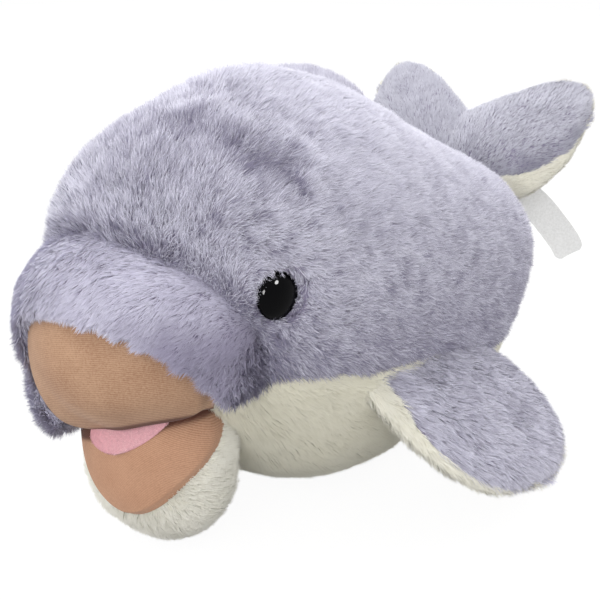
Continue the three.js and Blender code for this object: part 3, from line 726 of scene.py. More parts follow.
# The belly's pile is the white pile made darker and a little warmer, the darkening painted shade under the
# body
SHADED_BELLY_PILE = pile_material("belly_pile", (222, 218, 197), (232, 228, 208), (245, 242, 226))
WHITE_PILE = pile_material("white_pile", (232, 229, 214), (242, 239, 224), (252, 250, 240))
PINK_PILE = pile_material("pink_pile", (206, 150, 158), (222, 172, 178), (240, 202, 206))
LAVENDER_BACK = cloth_material("lavender_backing", (140, 133, 156))
WHITE_BACK = cloth_material("white_backing", (234, 231, 217))
PINK_BACK = cloth_material("pink_backing", (214, 160, 168))
PALATE_KNIT = lining_material(
    "palate_knit", (150, 113, 88), (183, 148, 120), wale=0.0013, turn=(0.5, 0.25, 0), ribs=0.22
)
JAW_KNIT = lining_material(
    "jaw_knit", (162, 119, 92), (192, 150, 122), wale=0.0014, turn=(0.2, -0.25, 0), ribs=0.5
)
FILL = cloth_material("fibre_fill", (240, 240, 236))
EYE_BLACK = plastic_material("eye_black", (0.0015, 0.0015, 0.002, 1), rough=0.05, specular=0.05)
WASHER = plastic_material("washer_plastic", srgb(215, 215, 210), rough=0.45)
LABEL = cloth_material("label_tape", (250, 250, 248), rough=0.8)


# Body: back panels and belly panel
BODY_MIDDLE = np.array([0, 20, 105])
EYE = np.array([73.4, -109.8, 142.0])
EYE_RADIUS = 11.0
EYE_DOME = 4.8

# Middle, spread and height of the full hips and of the drawn-in flank under them
REAR_SWELL = (np.array([64.0, 114.0, 140.0]), 52.0, 12.0)
REAR_WAIST = (np.array([82.0, 128.0, 70.0]), 30.0, 9.0)
# The same for the cloth in front of each eye and behind it, which turn its seat to the side
EYE_CUSHION = (np.array([62.0, -120.5, 141.0]), 11.0, 3.0)
EYE_DIMPLE = (np.array([75.5, -101.0, 142.0]), 10.0, 3.5)

# Line of the parting beside the fin
HOLLOW = np.array(
    [[12, -97, 213], [27, -98, 210], [36, -97, 207], [44, -95, 203], [52, -91, 199], [61, -86, 193]], float
)


def body_lumps(points):
    """Lumps of the fill, creases of the seams, the fin's seat and the parting, along the normal."""
    x, y, z = np.moveaxis(points, -1, 0)
    share = (y - BODY["front"]) / BODY["length"]
    seam = read_rows(SEAM_ROWS, 1, np.clip(share, 0, 1)) * BODY["height"]
    lumps = 1.3 * noise(points, 52.0, 2) + 0.5 * noise(points, 21.0, 4)
    lumps = lumps - 2.4 * np.exp(-((z - seam) / 4.5) ** 2) * smooth(0.05, 0.12, share)
    lumps = lumps - 1.3 * np.exp(-(x / 3.5) ** 2) * ((z > 150) | (share < 0.2))
    rise = smooth(-88, -50, y) * smooth(84, 60, y) * (z > 150)
    rise = rise * (7.0 + 3.0 * smooth(20, 60, y))
    lumps = lumps + rise * np.exp(-((x + 8) / 22) ** 2)
    lumps = lumps + swelling(points, *REAR_SWELL) - swelling(points, *REAR_WAIST)
    lumps = lumps + swelling(points, *EYE_CUSHION) - swelling(points, *EYE_DIMPLE)
    return lumps - 2.5 * hollow(points) + 2.0 * ridge(points)


def swelling(points, middle, spread, height):
    """Soft bump on both sides of the body."""
    gap = np.linalg.norm(mirrored(points) - middle, axis=-1)
    return height * np.exp(-((gap / spread) ** 2))


def hollow_gap(points):
    """Distance to the parting beside the fin and how far behind it a point lies."""
    best = np.full(points.shape[:-1], 1e9)
    behind = np.zeros(points.shape[:-1])
    for start, end in zip(HOLLOW[:-1], HOLLOW[1:]):
        way = end - start
        t = np.clip(((points - start) @ way) / (way @ way), 0, 1)
        gap = points - (start + t[..., None] * way)
        length = np.linalg.norm(gap, axis=-1)
        behind = np.where(length < best, gap[..., 1], behind)
        best = np.minimum(best, length)
    return best, behind


def hollow(points):
    """1 in the parting, falling off slowly in front of it and fast behind it."""
    best, behind = hollow_gap(points)
    wide = np.where(behind < 0, 15.0, 6.0)
    return np.exp(-((best / wide) ** 2))


def ridge(points):
    """1 on the raised edge behind the parting."""
    best, behind = hollow_gap(points)
    return np.exp(-(((best - 11) / 8.0) ** 2)) * (behind > 0)


def body_grid(shares, low, high, columns, side):
    """Grid over the body between two ring angles, in degrees, each a number or one for each share."""
    low = np.broadcast_to(low, shares.shape)[:, None]
    high = np.broadcast_to(high, shares.shape)[:, None]
    angle = np.radians(low + (high - low) * np.linspace(0, 1, columns)[None, :])
    grid = form_point(BODY, shares[:, None] + 0 * angle, angle, BODY_SKIN)
    grid[..., 0] *= side
    grid = raised(grid, grid_normals(grid, BODY_MIDDLE), body_lumps(grid))
    return grid, grid_normals(grid, BODY_MIDDLE)


def seam_angle(shares):
    """Ring angle of the side seam, in degrees."""
    _, top, bottom = form_ring(BODY, shares, BODY_SKIN)
    seam = read_rows(SEAM_ROWS, 1, shares) * BODY["height"]
    t = np.clip((seam - (top + bottom) / 2) / ((top - bottom) / 2), -1, 1)
    return np.degrees(np.arcsin(power(t, BODY["upper"] / 2)))


def body_comb(points):
    """Pile lies to the rear, parted along the top of the back, and towards the eye next to it."""
    way = np.broadcast_to([0.0, 1.0, -0.3], points.shape).copy()
    parting = 0.25 * smooth(60, 0, np.abs(points[..., 0])) * (points[..., 2] > 100)
    way[..., 0] += parting * np.sign(points[..., 0])
    way[..., 2] += 1.5 * smooth(-105, -140, points[..., 1])
    to_eye = unit(EYE * np.where(points[..., :1] < 0, [-1, 1, 1], [1, 1, 1]) - points)
    lap = smooth(EYE_RADIUS + 5, EYE_RADIUS + 1.5, eye_gap(points))[..., None]
    return unit(way) * (1 - lap) + to_eye * lap


def eye_gap(points):
    """Distance to the middle of the nearer eye."""
    return np.linalg.norm(mirrored(points) - EYE, axis=-1)


def body_stretch(points):
    """Pile is clipped shorter round the eyes, where its tips lap over their rims."""
    return 0.64 + 0.36 * smooth(13, 22, eye_gap(points))


def body_lean(points):
    """Pile stands up more beside the eyes and on the brow."""
    return 0.95 - 0.2 * smooth(17, 12, eye_gap(points)) - 0.2 * smooth(-40, -110, points[..., 1])


def body_grain(points):
    """Pile is more ruffled on the brow and the sides than along the top of the back."""
    side = smooth(190, 120, points[..., 2])
    brow = smooth(-30, -100, points[..., 1])
    return 0.45 + 1.5 * np.maximum(side, 0.6 * brow)


def body_light_and_shade(points):
    """Painted shade of the pile low down, in the groove beside the snout, on the forehead and in the
    parting, and painted light on the brow, on the ridge behind the parting and along the top.
    """
    y, z = points[..., 1], points[..., 2]
    low = smooth(140, 85, z)
    groove = smooth(1.1, 1.02, form_value(SNOUT, points, 0))
    forehead = smooth(-50, -90, y) * smooth(165, 195, z)
    brow = smooth(-60, -100, y) * smooth(110, 140, z) * smooth(198, 172, z)
    # Painted shade low down, more of it in front, less on the brow, and in the parting
    shade = 0.28 * low + 0.22 * low * smooth(60, -60, y) - 0.12 * brow + 0.5 * hollow(points)
    shade = shade + 0.35 * groove + 0.18 * forehead
    # Painted light on the ridge behind the parting and along the top
    return 0.09 - shade + 0.12 * ridge(points) + 0.12 * smooth(150, 215, z)


def back_kept(points):
    """Share of the back's pile kept: none under the eyes and the side seam, and less on the far side."""
    clear = (eye_gap(points) > EYE_RADIUS).astype(float)
    return clear * (points[..., 2] > 62) * np.where(points[..., 0] > -30, 1.0, 0.8)


def belly_kept(points):
    """Share of the belly's pile kept, less where it presses on the floor."""
    return 0.4 + 0.6 * smooth(3, 14, points[..., 2])


def make_body():
    shares = end_shares(150, 0.02)
    seam = seam_angle(shares)
    for label, side, density in (("left", 1, 4.2), ("right", -1, 3.6)):
        grid, normals = body_grid(shares, seam, 90.0, 100, side)
        skin(f"back_{label}", grid, normals, "torso", LAVENDER_BACK,
             [f"back_panel_{label}"], tuck=(0, 0, 4, 3))
        fur(f"back_{label}_pile", grid, normals, "torso", LAVENDER_PILE, density,
            length=6.2, comb=body_comb, lean=body_lean, painted_light_and_tone=body_light_and_shade, keep=back_kept,
            stretch=body_stretch, seed=11 + side, grain=body_grain)
    under = shares[shares > 0.055]
    edge = seam_angle(under)
    grid, normals = body_grid(under, -180 - edge, edge, 150, 1)
    skin("belly", grid, normals, "torso", WHITE_BACK, ["belly_panel"],
         tuck=(3, 0, 4, 4))
    fur("belly_pile", grid, normals, "torso", SHADED_BELLY_PILE, density=2.6, length=6.5,
        comb=body_comb, lean=1.05, keep=belly_kept, seed=21, flat=0.9, grain=0.3)


# Snout roll and palate
MOUTH = np.array([5.0, -128.0, 95.0])
# Rim of the roll seen from the front: degrees round the mouth and radius
RIM = np.array([
    [-40, 51], [-20, 53], [-3, 55], [10, 56.5], [31, 53.5], [51, 48], [70, 45], [92, 44],
    [115, 45.5], [131, 48.5], [146, 49.5], [160, 46.5], [175, 43], [198, 39.5], [224, 45],
    [236, 48],
])
# Mouth crease: across, depth and height
CREASE_ROWS = [
    [-40.0, -134.0, 54.0], [-22.6, -142.0, 61.5], [-5.0, -144.3, 68.0], [10.0, -142.8, 74.0],
    [27.7, -131.4, 80.0], [47.6, -117.0, 83.8], [66.0, -105.0, 86.5],
]
# Middle and radii of ellipsoids blended into the roll and the palate, and how wide the blends are
FAR_CHEEK = (np.array([-31.0, -142.0, 84.0]), np.array([18.0, 17.0, 25.0]))
NEAR_CHEEK = (np.array([53.0, -128.0, 104.0]), np.array([10.0, 9.0, 11.0]))
PALATE_FAR = (np.array([-22.0, -142.0, 96.0]), np.array([19.5, 19.5, 35.0]))
ROLL_BLEND = 8.0
PALATE_BLEND = 14.0


def mouth_ways(phi, psi):
    """Directions from the middle of the mouth: phi round the mouth, psi away from straight ahead."""
    return np.stack([np.cos(phi) * np.sin(psi), -np.cos(psi) + 0 * phi, np.sin(phi) * np.sin(psi)], axis=-1)


def mouth_grid(centre, phi, psi, reaches):
    """Grid of the surface that a reach describes, seen from a centre."""
    ways = mouth_ways(phi + 0 * psi, psi)
    return centre + ways * reaches(ways)[..., None]


def merged(first, second, width):
    """Greater of two distances, rounded over where they cross."""
    near = np.maximum(width - np.abs(first - second), 0)
    return np.maximum(first, second) + near * near / (4 * width)


def roll_reach(ways):
    form = reach(MOUTH, ways, lambda p: form_value(SNOUT, p, BODY_SKIN))
    form = merged(form, ellipsoid_reach(MOUTH, ways, *FAR_CHEEK), ROLL_BLEND)
    return merged(form, ellipsoid_reach(MOUTH, ways, *NEAR_CHEEK), ROLL_BLEND)


def rim_radius(phi):
    """Radius of the roll's rim, with tufts along its near side."""
    ripple = np.sin(23 * phi) + 0.8 * np.sin(37 * phi + 1.0)
    near = smooth(-0.1, 0.2, phi) * smooth(1.7, 1.2, phi)
    return np.interp(np.degrees(phi), RIM[:, 0], RIM[:, 1]) + 0.9 * ripple * near


def crease_line(x):
    """Depth and height of the mouth crease across the mouth."""
    x = np.clip(x, CREASE_ROWS[0][0], CREASE_ROWS[-1][0])
    return read_rows(CREASE_ROWS, 1, x), read_rows(CREASE_ROWS, 2, x)


def crease_radius(phi):
    """Distance from the middle of the mouth to the crease seen from the front, or 60 where it is clear."""
    def above(radius):
        _, height = crease_line(MOUTH[0] + radius * np.cos(phi))
        return MOUTH[2] + radius * np.sin(phi) > height

    return last_inside(phi.shape, 60, above, steps=24)


def painted_crease_shade(points):
    """How much painted shade darkens the lining along the mouth crease, from 0 to 1."""
    _, height = crease_line(points[..., 0])
    clear = np.maximum(np.abs(points[..., 2] - height) - 2.2, 0)
    return 0.95 * np.exp(-((clear / 1.5) ** 2))


def palate_reach(ways):
    form = reach(MOUTH, ways, lambda p: palate_value(p, PALATE_SKIN))
    return merged(form, ellipsoid_reach(MOUTH, ways, *PALATE_FAR), PALATE_BLEND)


def widest(reaches, phi, radius, most):
    """Angle from straight ahead at which a surface gets to a radius, up to so many degrees."""
    def inside(angle):
        return reaches(mouth_ways(phi, angle)) * np.sin(angle) <= radius

    return last_inside(phi.shape, math.radians(most), inside, steps=20)


def roll_kept(points):
    """Pile of the roll is kept outside the body."""
    return (form_value(BODY, points, BODY_SKIN - 1.5) > 1).astype(float)


def lip(points):
    """1 on the lower edge of the roll."""
    return smooth(130, 106, points[..., 2])


def roll_lean(points):
    return 1.15 - 0.2 * lip(points)


def roll_grain(points):
    return 0.3 + 2.3 * lip(points)


def roll_light_and_shade(points):
    """Painted shade of the roll in the groove to the forehead, low down and on the near side, and painted
    light on the far side.
    """
    x, z = points[..., 0], points[..., 2]
    groove = smooth(1.1, 1.0, form_value(BODY, points, BODY_SKIN))
    far = smooth(-20, -36, x)
    near = smooth(28, 50, x) * smooth(150, 118, z)
    return 0.22 - 0.5 * groove + 0.55 * far - 0.7 * near - 0.3 * smooth(152, 112, z)


# How far the roll's edge curls in, across and in depth, and how far it then runs in behind the palate
CURL_ACROSS = 3.5
CURL_DEPTH = 5.0
CURL_RUN = 16.0


def make_snout():
    phi = np.radians(np.linspace(-14, 236, 176))
    start = widest(roll_reach, phi, rim_radius(phi), most=120)
    psi = start + (math.radians(140) - start) * np.linspace(0, 1, 80)[:, None]
    grid = mouth_grid(MOUTH, phi, psi, roll_reach)
    normals = grid_normals(grid, MOUTH)
    grid = raised(grid, normals, 1.0 * noise(grid, 34.0, 31) + 0.5 * noise(grid, 15.0, 33))
    edge = normals[:1]
    inward = unit((MOUTH - grid[:1]) * [1, 0, 1])
    curls = [grid]
    curl_normals = [normals]
    for turn in np.radians((25, 50, 75, 100, 125, 150)):
        across, deep = math.sin(turn), 1 - math.cos(turn)
        curls.append(grid[:1] + inward * CURL_ACROSS * across - edge * CURL_DEPTH * deep)
        curl_normals.append(unit(edge * math.cos(turn) + inward * math.sin(turn)))
    curls.append(curls[-1] + [0, CURL_RUN, 0])
    curl_normals.append(curl_normals[-1])
    full = np.concatenate(curls[::-1], axis=0)
    full_normals = np.concatenate(curl_normals[::-1], axis=0)
    skin("snout_roll", full, full_normals, "torso", LAVENDER_BACK, ["snout_panel"],
         tuck=(0, 0, 10, 10))
    comb = -np.gradient(full, axis=0)
    fur("snout_pile", full[2:], full_normals[2:], "torso", ROLL_PILE, density=4.8,
        length=5.6, comb=comb[2:], lean=roll_lean, painted_light_and_tone=roll_light_and_shade, keep=roll_kept, seed=41, flat=0.85,
        clump=3.5, grain=roll_grain)


def make_palate():
    """Palate, a shallow pillow let into the roll and pinched into the mouth crease."""
    phi = np.radians(np.linspace(-180, 180, 241))
    wrapped = np.degrees(np.where(phi < math.radians(-90), phi + 2 * math.pi, phi))
    lap = 5.0 + 6.0 * smooth(25, 0, wrapped)
    radius = np.where((wrapped > -35) & (wrapped < 236), rim_radius(np.radians(wrapped)) + lap + 1.0, 62.0)
    radius = evened(np.minimum(radius, crease_radius(phi)), times=4)
    edge = widest(palate_reach, phi, radius, most=89)
    rise = np.linspace(0.002, 1, 70)[:, None]
    grid = mouth_grid(MOUTH, phi, edge * rise, palate_reach)
    depth, height = crease_line(grid[..., 0])
    rising = 1 - np.clip((grid[..., 2] - height) / 20.0, 0, 1)
    free = np.sqrt(1 - rising * rising)
    grid[..., 1] = depth + (grid[..., 1] - depth) * free
    grid = relaxed(grid, times=160)
    normals = grid_normals(grid, MOUTH)
    grid = raised(grid, normals, 1.6 - 3.6 * smooth(0.86, 1.0, rise))
    grid = raised(grid, normals, 0.5 * noise(grid, 26.0, 35))
    obj = skin("palate", grid, normals, "torso", PALATE_KNIT, ["palate_lining"],
               tuck=(0, 9, 0, 0))
    # Painted shade along the mouth crease
    paint(obj, "crease", painted_crease_shade)


# Lower jaw
# Point inside it that its surfaces are seen from, and a distance that is always outside
JAW_MIDDLE = np.array([0.0, -117.0, 46.0])
JAW_MOST = 120.0
# Edge of the lining seen from the front: half width, drop from its top, top, and where the pillow cuts it
LINING_HALF = 46.0
LINING_DROP = 62.0
LINING_TOP = 88.0
LINING_CUT = 85.0


def jaw_rim(phi):
    """Radius of the lining's edge seen from the front, round the middle of the jaw."""
    def inside(radius):
        x = JAW_MIDDLE[0] + radius * np.cos(phi)
        z = JAW_MIDDLE[2] + radius * np.sin(phi)
        below = np.minimum(z - LINING_TOP, 0)
        return (np.abs(x / LINING_HALF) ** 1.65 + np.abs(below / LINING_DROP) ** 1.85 < 1) & (z < LINING_CUT)

    return last_inside(phi.shape, 80, inside, steps=24)


def pillow_reach(ways):
    return reach(JAW_MIDDLE, ways, lambda p: jaw_value(p, BODY_SKIN), JAW_MOST)


def lining_reach(ways):
    return reach(JAW_MIDDLE, ways, lambda p: jaw_value(p, JAW_LINING_SKIN), JAW_MOST)


def jaw_kept(points):
    """Share of the jaw's pile kept, less where the body hides it."""
    return 0.3 + 0.7 * (points[..., 1] < -108) * (points[..., 2] < 86)


def make_jaw():
    phi = np.radians(np.linspace(-180, 180, 201)) - math.pi / 2
    edge = evened(widest(pillow_reach, phi, jaw_rim(phi), most=98), times=40)
    t = np.linspace(0, 1, 70)[:, None]
    grid = mouth_grid(JAW_MIDDLE, phi, edge + (math.radians(178) - edge) * t, pillow_reach)
    normals = grid_normals(grid, JAW_MIDDLE)
    grid = raised(grid, normals, 0.8 * noise(grid, 22.0, 51) - 2.2 * smooth(0.1, 0.0, t))
    skin("jaw_pillow", grid, normals, "jaw", WHITE_BACK, ["jaw_panel"],
         tuck=(5, 0, 0, 0))
    # The jaw's pile is shifted lighter, painted light on the chin
    fur("jaw_pile", grid, normals, "jaw", WHITE_PILE, density=4.6, length=5.5,
        comb=np.gradient(grid, axis=0), lean=1.05 - 0.3 * smooth(0.06, 0.0, t) + 0 * phi, painted_light_and_tone=0.22,
        keep=jaw_kept, seed=61, flat=0.9, grain=0.4)
    rise = np.linspace(0.002, 1.05, 60)[:, None]
    grid = mouth_grid(JAW_MIDDLE, phi, edge * rise, lining_reach)
    normals = grid_normals(grid, JAW_MIDDLE)
    grid = raised(grid, normals, 1.2 - 2.5 * smooth(0.88, 1.05, rise))
    obj = skin("jaw_knit", grid, normals, "jaw", JAW_KNIT, ["jaw_lining"],
               tuck=(0, 6, 0, 0))
    # Painted shade along the mouth crease
    paint(obj, "crease", painted_crease_shade)


# Tongue
TONGUE_HALF = 23.0
TONGUE_THICK = 1.7
TONGUE_LENGTH = 13.5
TONGUE_SLANT = 8.0


def make_tongue():
    root = np.array([8.0, -140.9, 73.5])
    across_way = unit(np.array([0.93, 0.2, 0.3]))
    out = np.array([0.12, -0.4, -0.9])
    out = unit(out - across_way * (out @ across_way))
    normal = np.cross(across_way, out)
    normal = normal * -np.sign(normal[1])
    t = np.linspace(0, 1, 40)[:, None]
    angle = np.linspace(0, 2 * math.pi, 81)[None, :]
    half = TONGUE_HALF * np.maximum(1 - t ** 1.7, 0) ** 0.62 + 0.3
    thick = TONGUE_THICK * np.sqrt(np.maximum(1 - t ** 3, 0)) + 0.15
    across = power(np.cos(angle), 0.85) * half
    lift = np.sin(angle) * thick * np.sqrt(np.maximum(1.02 - (across / (half + 0.2)) ** 4, 0)) + 0.6 * t
    grid = root + (across - TONGUE_SLANT * t)[..., None] * across_way
    grid = grid + (TONGUE_LENGTH * t - 1.5)[..., None] * out + lift[..., None] * normal
    normals = grid_normals(grid, root + out * 6 - normal * 1.0)
    skin("tongue_pad", grid, normals, "tongue", PINK_BACK, ["tongue"])
    fur("tongue_pile", grid, normals, "tongue", PINK_PILE, density=9.0, length=1.2,
        comb=np.gradient(grid, axis=0), lean=0.8, width=0.22, painted_light_and_tone=0.1, seed=71, flat=0.9, clump=1.5)


# Eyes: how far out the dome starts, and the shank, back and rim under it as depth and radius
EYE_SEAT = -3.9
EYE_PROFILE = [
    (-10.5, 0.05),
    (-10.5, 2.4),
    (-5.1, 2.5),
    (-5.0, EYE_RADIUS - 1.2),
    (-4.6, EYE_RADIUS - 0.3),
    (EYE_SEAT, EYE_RADIUS),
]


def make_eye(label, side):
    normal = unit(np.array([0.97 * side, -0.22, 0.08]))
    seat = EYE * [side, 1, 1]
    across = unit(np.cross([0, 0, 1], normal))
    up = np.cross(normal, across)
    angle = np.linspace(0, 2 * math.pi, 65)[None, :]
    dome = [
        (EYE_SEAT + EYE_DOME * math.sin(turn), max(EYE_RADIUS * math.cos(turn), 0.02))
        for turn in np.radians(np.linspace(4, 90, 30))
    ]
    out, radius = np.array(EYE_PROFILE + dome).T[:, :, None]
    ring = np.cos(angle)[..., None] * across + np.sin(angle)[..., None] * up
    grid = seat + out[..., None] * normal + radius[..., None] * ring
    normals = grid_normals(grid, seat - normal * 2)
    skin(f"eye_{label}_button", grid, normals, "torso", EYE_BLACK, [f"eye_{label}"])


# Limbs
# Cloth of their panels: backing, pile, how even its light is and how ruffled it looks
LIMB_CLOTHS = {
    "lavender_plush": (LAVENDER_BACK, LAVENDER_PILE, 0.75, 0.8),
    "white_plush": (WHITE_BACK, WHITE_PILE, 0.9, 0.5),
}
LIMB_TUCK = (0, 0, 2, 2)
RING_SIDES = np.radians([90.0, 270.0])
# Strands to a square millimetre where the pile is seen close and where it is hidden or turned away
DENSE = 3.6
SPARSE = 2.6


def limb_panels(name, body, form, split, panels, seed, shares, comb_way):
    """Two panels of a flat limb, split at ring angles, with their pile.

    Each of the panels is a name, a slot, the node replaced, strands to a square millimetre and a shift of
    its shade, which paints in the light on it.
    """
    low, high = (np.broadcast_to(edge, shares.shape)[:, None] for edge in split)
    t = np.linspace(0, 1, 44)[None, :]
    turns = (low + (high - low) * t, high + (low + 360 - high) * t)
    centre = limb_grid(**form, shares=shares, angles=RING_SIDES).mean(axis=1)[:, None, :]
    for k, (label, slot, replaced, density, painted_light_and_tone) in enumerate(panels):
        backing, pile, flat, grain = LIMB_CLOTHS[slot]
        grid = limb_grid(**form, shares=shares, angles=np.radians(turns[k]))
        normals = grid_normals(grid, centre)
        grid = raised(grid, normals, 0.8 * noise(grid, 24.0, seed) + 0.35 * noise(grid, 9.0, seed + 1))
        skin(f"{name}_{label}", grid, normals, body, backing, [replaced],
             tuck=LIMB_TUCK)
        fur(f"{name}_{label}_pile", grid, normals, body, pile, density, length=6.0,
            comb=np.broadcast_to(comb_way, grid.shape), lean=1.05, painted_light_and_tone=painted_light_and_tone, seed=seed + 5 + k,
            flat=flat, grain=grain)


def round_shares(count, first):
    """Shares up to 1, closer together towards it."""
    return first + (1 - first) * np.sin(np.linspace(0, math.pi / 2, count))


# Rows of a limb: share of its span, share of its chord, share of its thickness and sweep
FIN_ROWS = [
    [0, 1, 1, 0], [0.3, 0.99, 0.94, 0.01], [0.6, 0.92, 0.82, 0.04],
    [0.85, 0.7, 0.62, 0.09], [1, 0.2, 0.15, 0.13],
]
FLIPPER_ROWS = [
    [0, 1, 0.9, 0], [0.25, 1.08, 1, 0.04], [0.5, 1.12, 1, 0.08], [0.75, 1, 0.85, 0.105],
    [0.92, 0.66, 0.6, 0.115], [1, 0.12, 0.12, 0.12],
]
TAIL_ROWS = [[0, 1, 1, 0], [0.5, 0.92, 0.86, 0], [0.8, 0.8, 0.66, 0], [1, 0.7, 0.5, 0]]


def make_fin():
    lean = math.radians(66)
    along = np.array([-math.sin(lean), 0, math.cos(lean)])
    form = dict(root=np.array([0, -7.0, 199.9]), along=along, chord_way=np.array([0, 1.0, 0]),
                span=42.0, chord=140.0, thick=34.0, rows=FIN_ROWS)
    # The last number of each panel shifts its pile a little darker, painted shade on the fin
    panels = (
        ("left", "lavender_plush", "dorsal_fin_left_panel", DENSE, -0.06),
        ("right", "lavender_plush", "dorsal_fin_right_panel", SPARSE, -0.04),
    )
    shares = round_shares(44, -0.15)
    limb_panels("fin", "dorsal_fin", form, (0, 180), panels, 81, shares, along + [0, 0.5, 0])


def make_flipper(label, side):
    name = f"flipper_{label}"
    droop = math.radians(38)
    tilt = math.radians(8)
    along = np.array([side * math.cos(droop), 0, -math.sin(droop)])
    chord_way = np.array([0, math.cos(tilt), -math.sin(tilt)])
    form = dict(root=np.array([side * 70.0, -4.07, 87.9]), along=along, chord_way=chord_way,
                span=102.0, chord=120.0, thick=28.0, rows=FLIPPER_ROWS)
    # Ring angle 0 is the trailing edge; the top panel stops short of the leading edge
    shares = round_shares(60, 0.12)
    edge = 150 + 12 * smooth(0.2, 0.6, shares)
    split = (0, edge) if side > 0 else (-edge, 0)
    # The top panel's pile is shifted lighter, painted light on the top of the flipper
    panels = (
        ("top", "lavender_plush", f"{name}_top_panel", DENSE, 0.14),
        ("under", "white_plush", f"{name}_under_panel", SPARSE, 0),
    )
    limb_panels(name, name, form, split, panels, 91 + side, shares, along + chord_way * 0.15)


# Tail stock and flukes rise to the rear at one pitch; the notch is between the lobes
PITCH = math.radians(50)
FLUKE_BACK = np.array([0, math.cos(PITCH), math.sin(PITCH)])
FLUKE_NORMAL = np.array([0, -math.sin(PITCH), math.cos(PITCH)])
ACROSS = np.array([1.0, 0, 0])
NOTCH = np.array([0, 196.0, 180.0])


def make_tail():
    form = dict(root=np.array([0, 128.0, 92.0]), along=FLUKE_BACK, chord_way=ACROSS,
                span=72.0, chord=58.0, thick=46.0, rows=TAIL_ROWS)
    panels = (
        ("top", "lavender_plush", "tail_top_panel", 3.2, 0),
        ("under", "white_plush", "tail_under_panel", SPARSE, 0),
    )
    limb_panels("tail", "tail", form, (180, 360), panels, 101, np.linspace(0.3, 1.0, 30), FLUKE_BACK)


# Share of the half span, share of the thickness, and leading and trailing edge from the notch
FLUKE_ROWS = [
    [0, 0.98, -2, 0], [0.3, 1, -53, 16], [0.55, 0.95, -66, 27], [0.75, 0.86, -58, 30], [0.92, 0.6, -35, 24],
    [1, 0.1, -4, 6],
]
FLUKE_HALF = 88.0
FLUKE_THICK = 29.0
# The right lobe is a little shorter in span, and its tip lies further back
FLUKE_RIGHT = 0.93
FLUKE_SWEEP = 9.0
# How far out the tail stock runs into the flukes, and how far in front of the notch it starts
STOCK_SHARE = 0.42
STOCK_START = 64.0
# Places across the span, from the right tip at -1 to the left tip at 1
FLUKE_SPAN = np.sin(np.linspace(-math.pi / 2, math.pi / 2, 121))[:, None]


def fluke_grid(angles):
    """Sections across the span of the flukes, each from leading to trailing edge."""
    share = np.abs(FLUKE_SPAN)
    side = np.sign(FLUKE_SPAN)
    deep = np.maximum(read_rows(FLUKE_ROWS, 1, share) * FLUKE_THICK / 2 + LIMB_SKIN, THINNEST)
    stock = np.maximum(0, 1 - share / STOCK_SHARE) ** 0.7
    lead = read_rows(FLUKE_ROWS, 2, share) * (1 - stock) - STOCK_START * stock - LIMB_SKIN
    trail = read_rows(FLUKE_ROWS, 3, share) + LIMB_SKIN
    sweep = np.where(side < 0, share * FLUKE_SWEEP, 0)
    half = np.where(side < 0, FLUKE_HALF * FLUKE_RIGHT, FLUKE_HALF) + LIMB_SKIN
    u = (lead + trail) / 2 + sweep + (trail - lead) / 2 * np.cos(angles)
    w = deep * np.sin(angles)
    x = side * share * half + 0 * angles
    return NOTCH + x[..., None] * ACROSS + u[..., None] * FLUKE_BACK + w[..., None] * FLUKE_NORMAL


def fluke_light_and_shade(points):
    """Painted light on the near lobe and painted shade on the far one, with blotches of painted shade, as of
    brushed pile, inside the leading edge of the left lobe.
    """
    back = (points - NOTCH) @ FLUKE_BACK
    share = np.clip(points[..., 0] / FLUKE_HALF, 0, 1)
    inside = back - read_rows(FLUKE_ROWS, 2, share)
    band = smooth(4, 12, inside) * smooth(40, 22, inside)
    band = band * smooth(0.35, 0.6, share) * smooth(1.0, 0.93, share)
    lobe = np.where(points[..., 0] > 0, 0.14, -0.04)
    return lobe - band * (0.55 + 0.3 * noise(points, 7.0, 117))


def make_flukes():
    share = np.abs(FLUKE_SPAN)
    split = 180 - 46 * smooth(0.3, 0.55, share) + 20 * smooth(0.86, 1.0, share)
    t = np.linspace(0, 1, 46)[None, :]
    centre = fluke_grid(RING_SIDES[None, :]).mean(axis=1)[:, None, :]
    panels = (
        ("top", split * t, "lavender_plush", LAVENDER_BACK, FLUKE_PILE, DENSE, fluke_light_and_shade),
        ("under", split + (360 - split) * t, "white_plush", WHITE_BACK, WHITE_PILE, 2.8, 0.0),
    )
    for label, degrees, slot, backing, pile, density, painted_light_and_tone in panels:
        grid = fluke_grid(np.radians(degrees))
        normals = grid_normals(grid, centre)
        grid = raised(grid, normals, 0.9 * noise(grid, 26.0, 111) + 0.4 * noise(grid, 10.0, 113))
        skin(f"fluke_{label}", grid, normals, "flukes", backing, [f"fluke_{label}_panel"],
             tuck=LIMB_TUCK)
        fur(f"fluke_{label}_pile", grid, normals, "flukes", pile, density, length=4.4,
            comb=grid - (NOTCH - FLUKE_BACK * 70), lean=1.15, painted_light_and_tone=painted_light_and_tone, seed=115, flat=0.9, clump=3.0,
            grain=0.5)


# Care label
# Middle line of the tape from its seam to its free end, points along it, and half its width
LABEL_LINE = np.array(
    [
        [26, 171, 138], [38, 182, 134], [51, 192, 125], [60, 198, 114],
        [66, 202, 105], [72, 206, 96], [76, 208, 87],
    ],
    float,
)
LABEL_POINTS = 60
LABEL_HALF = 10.5


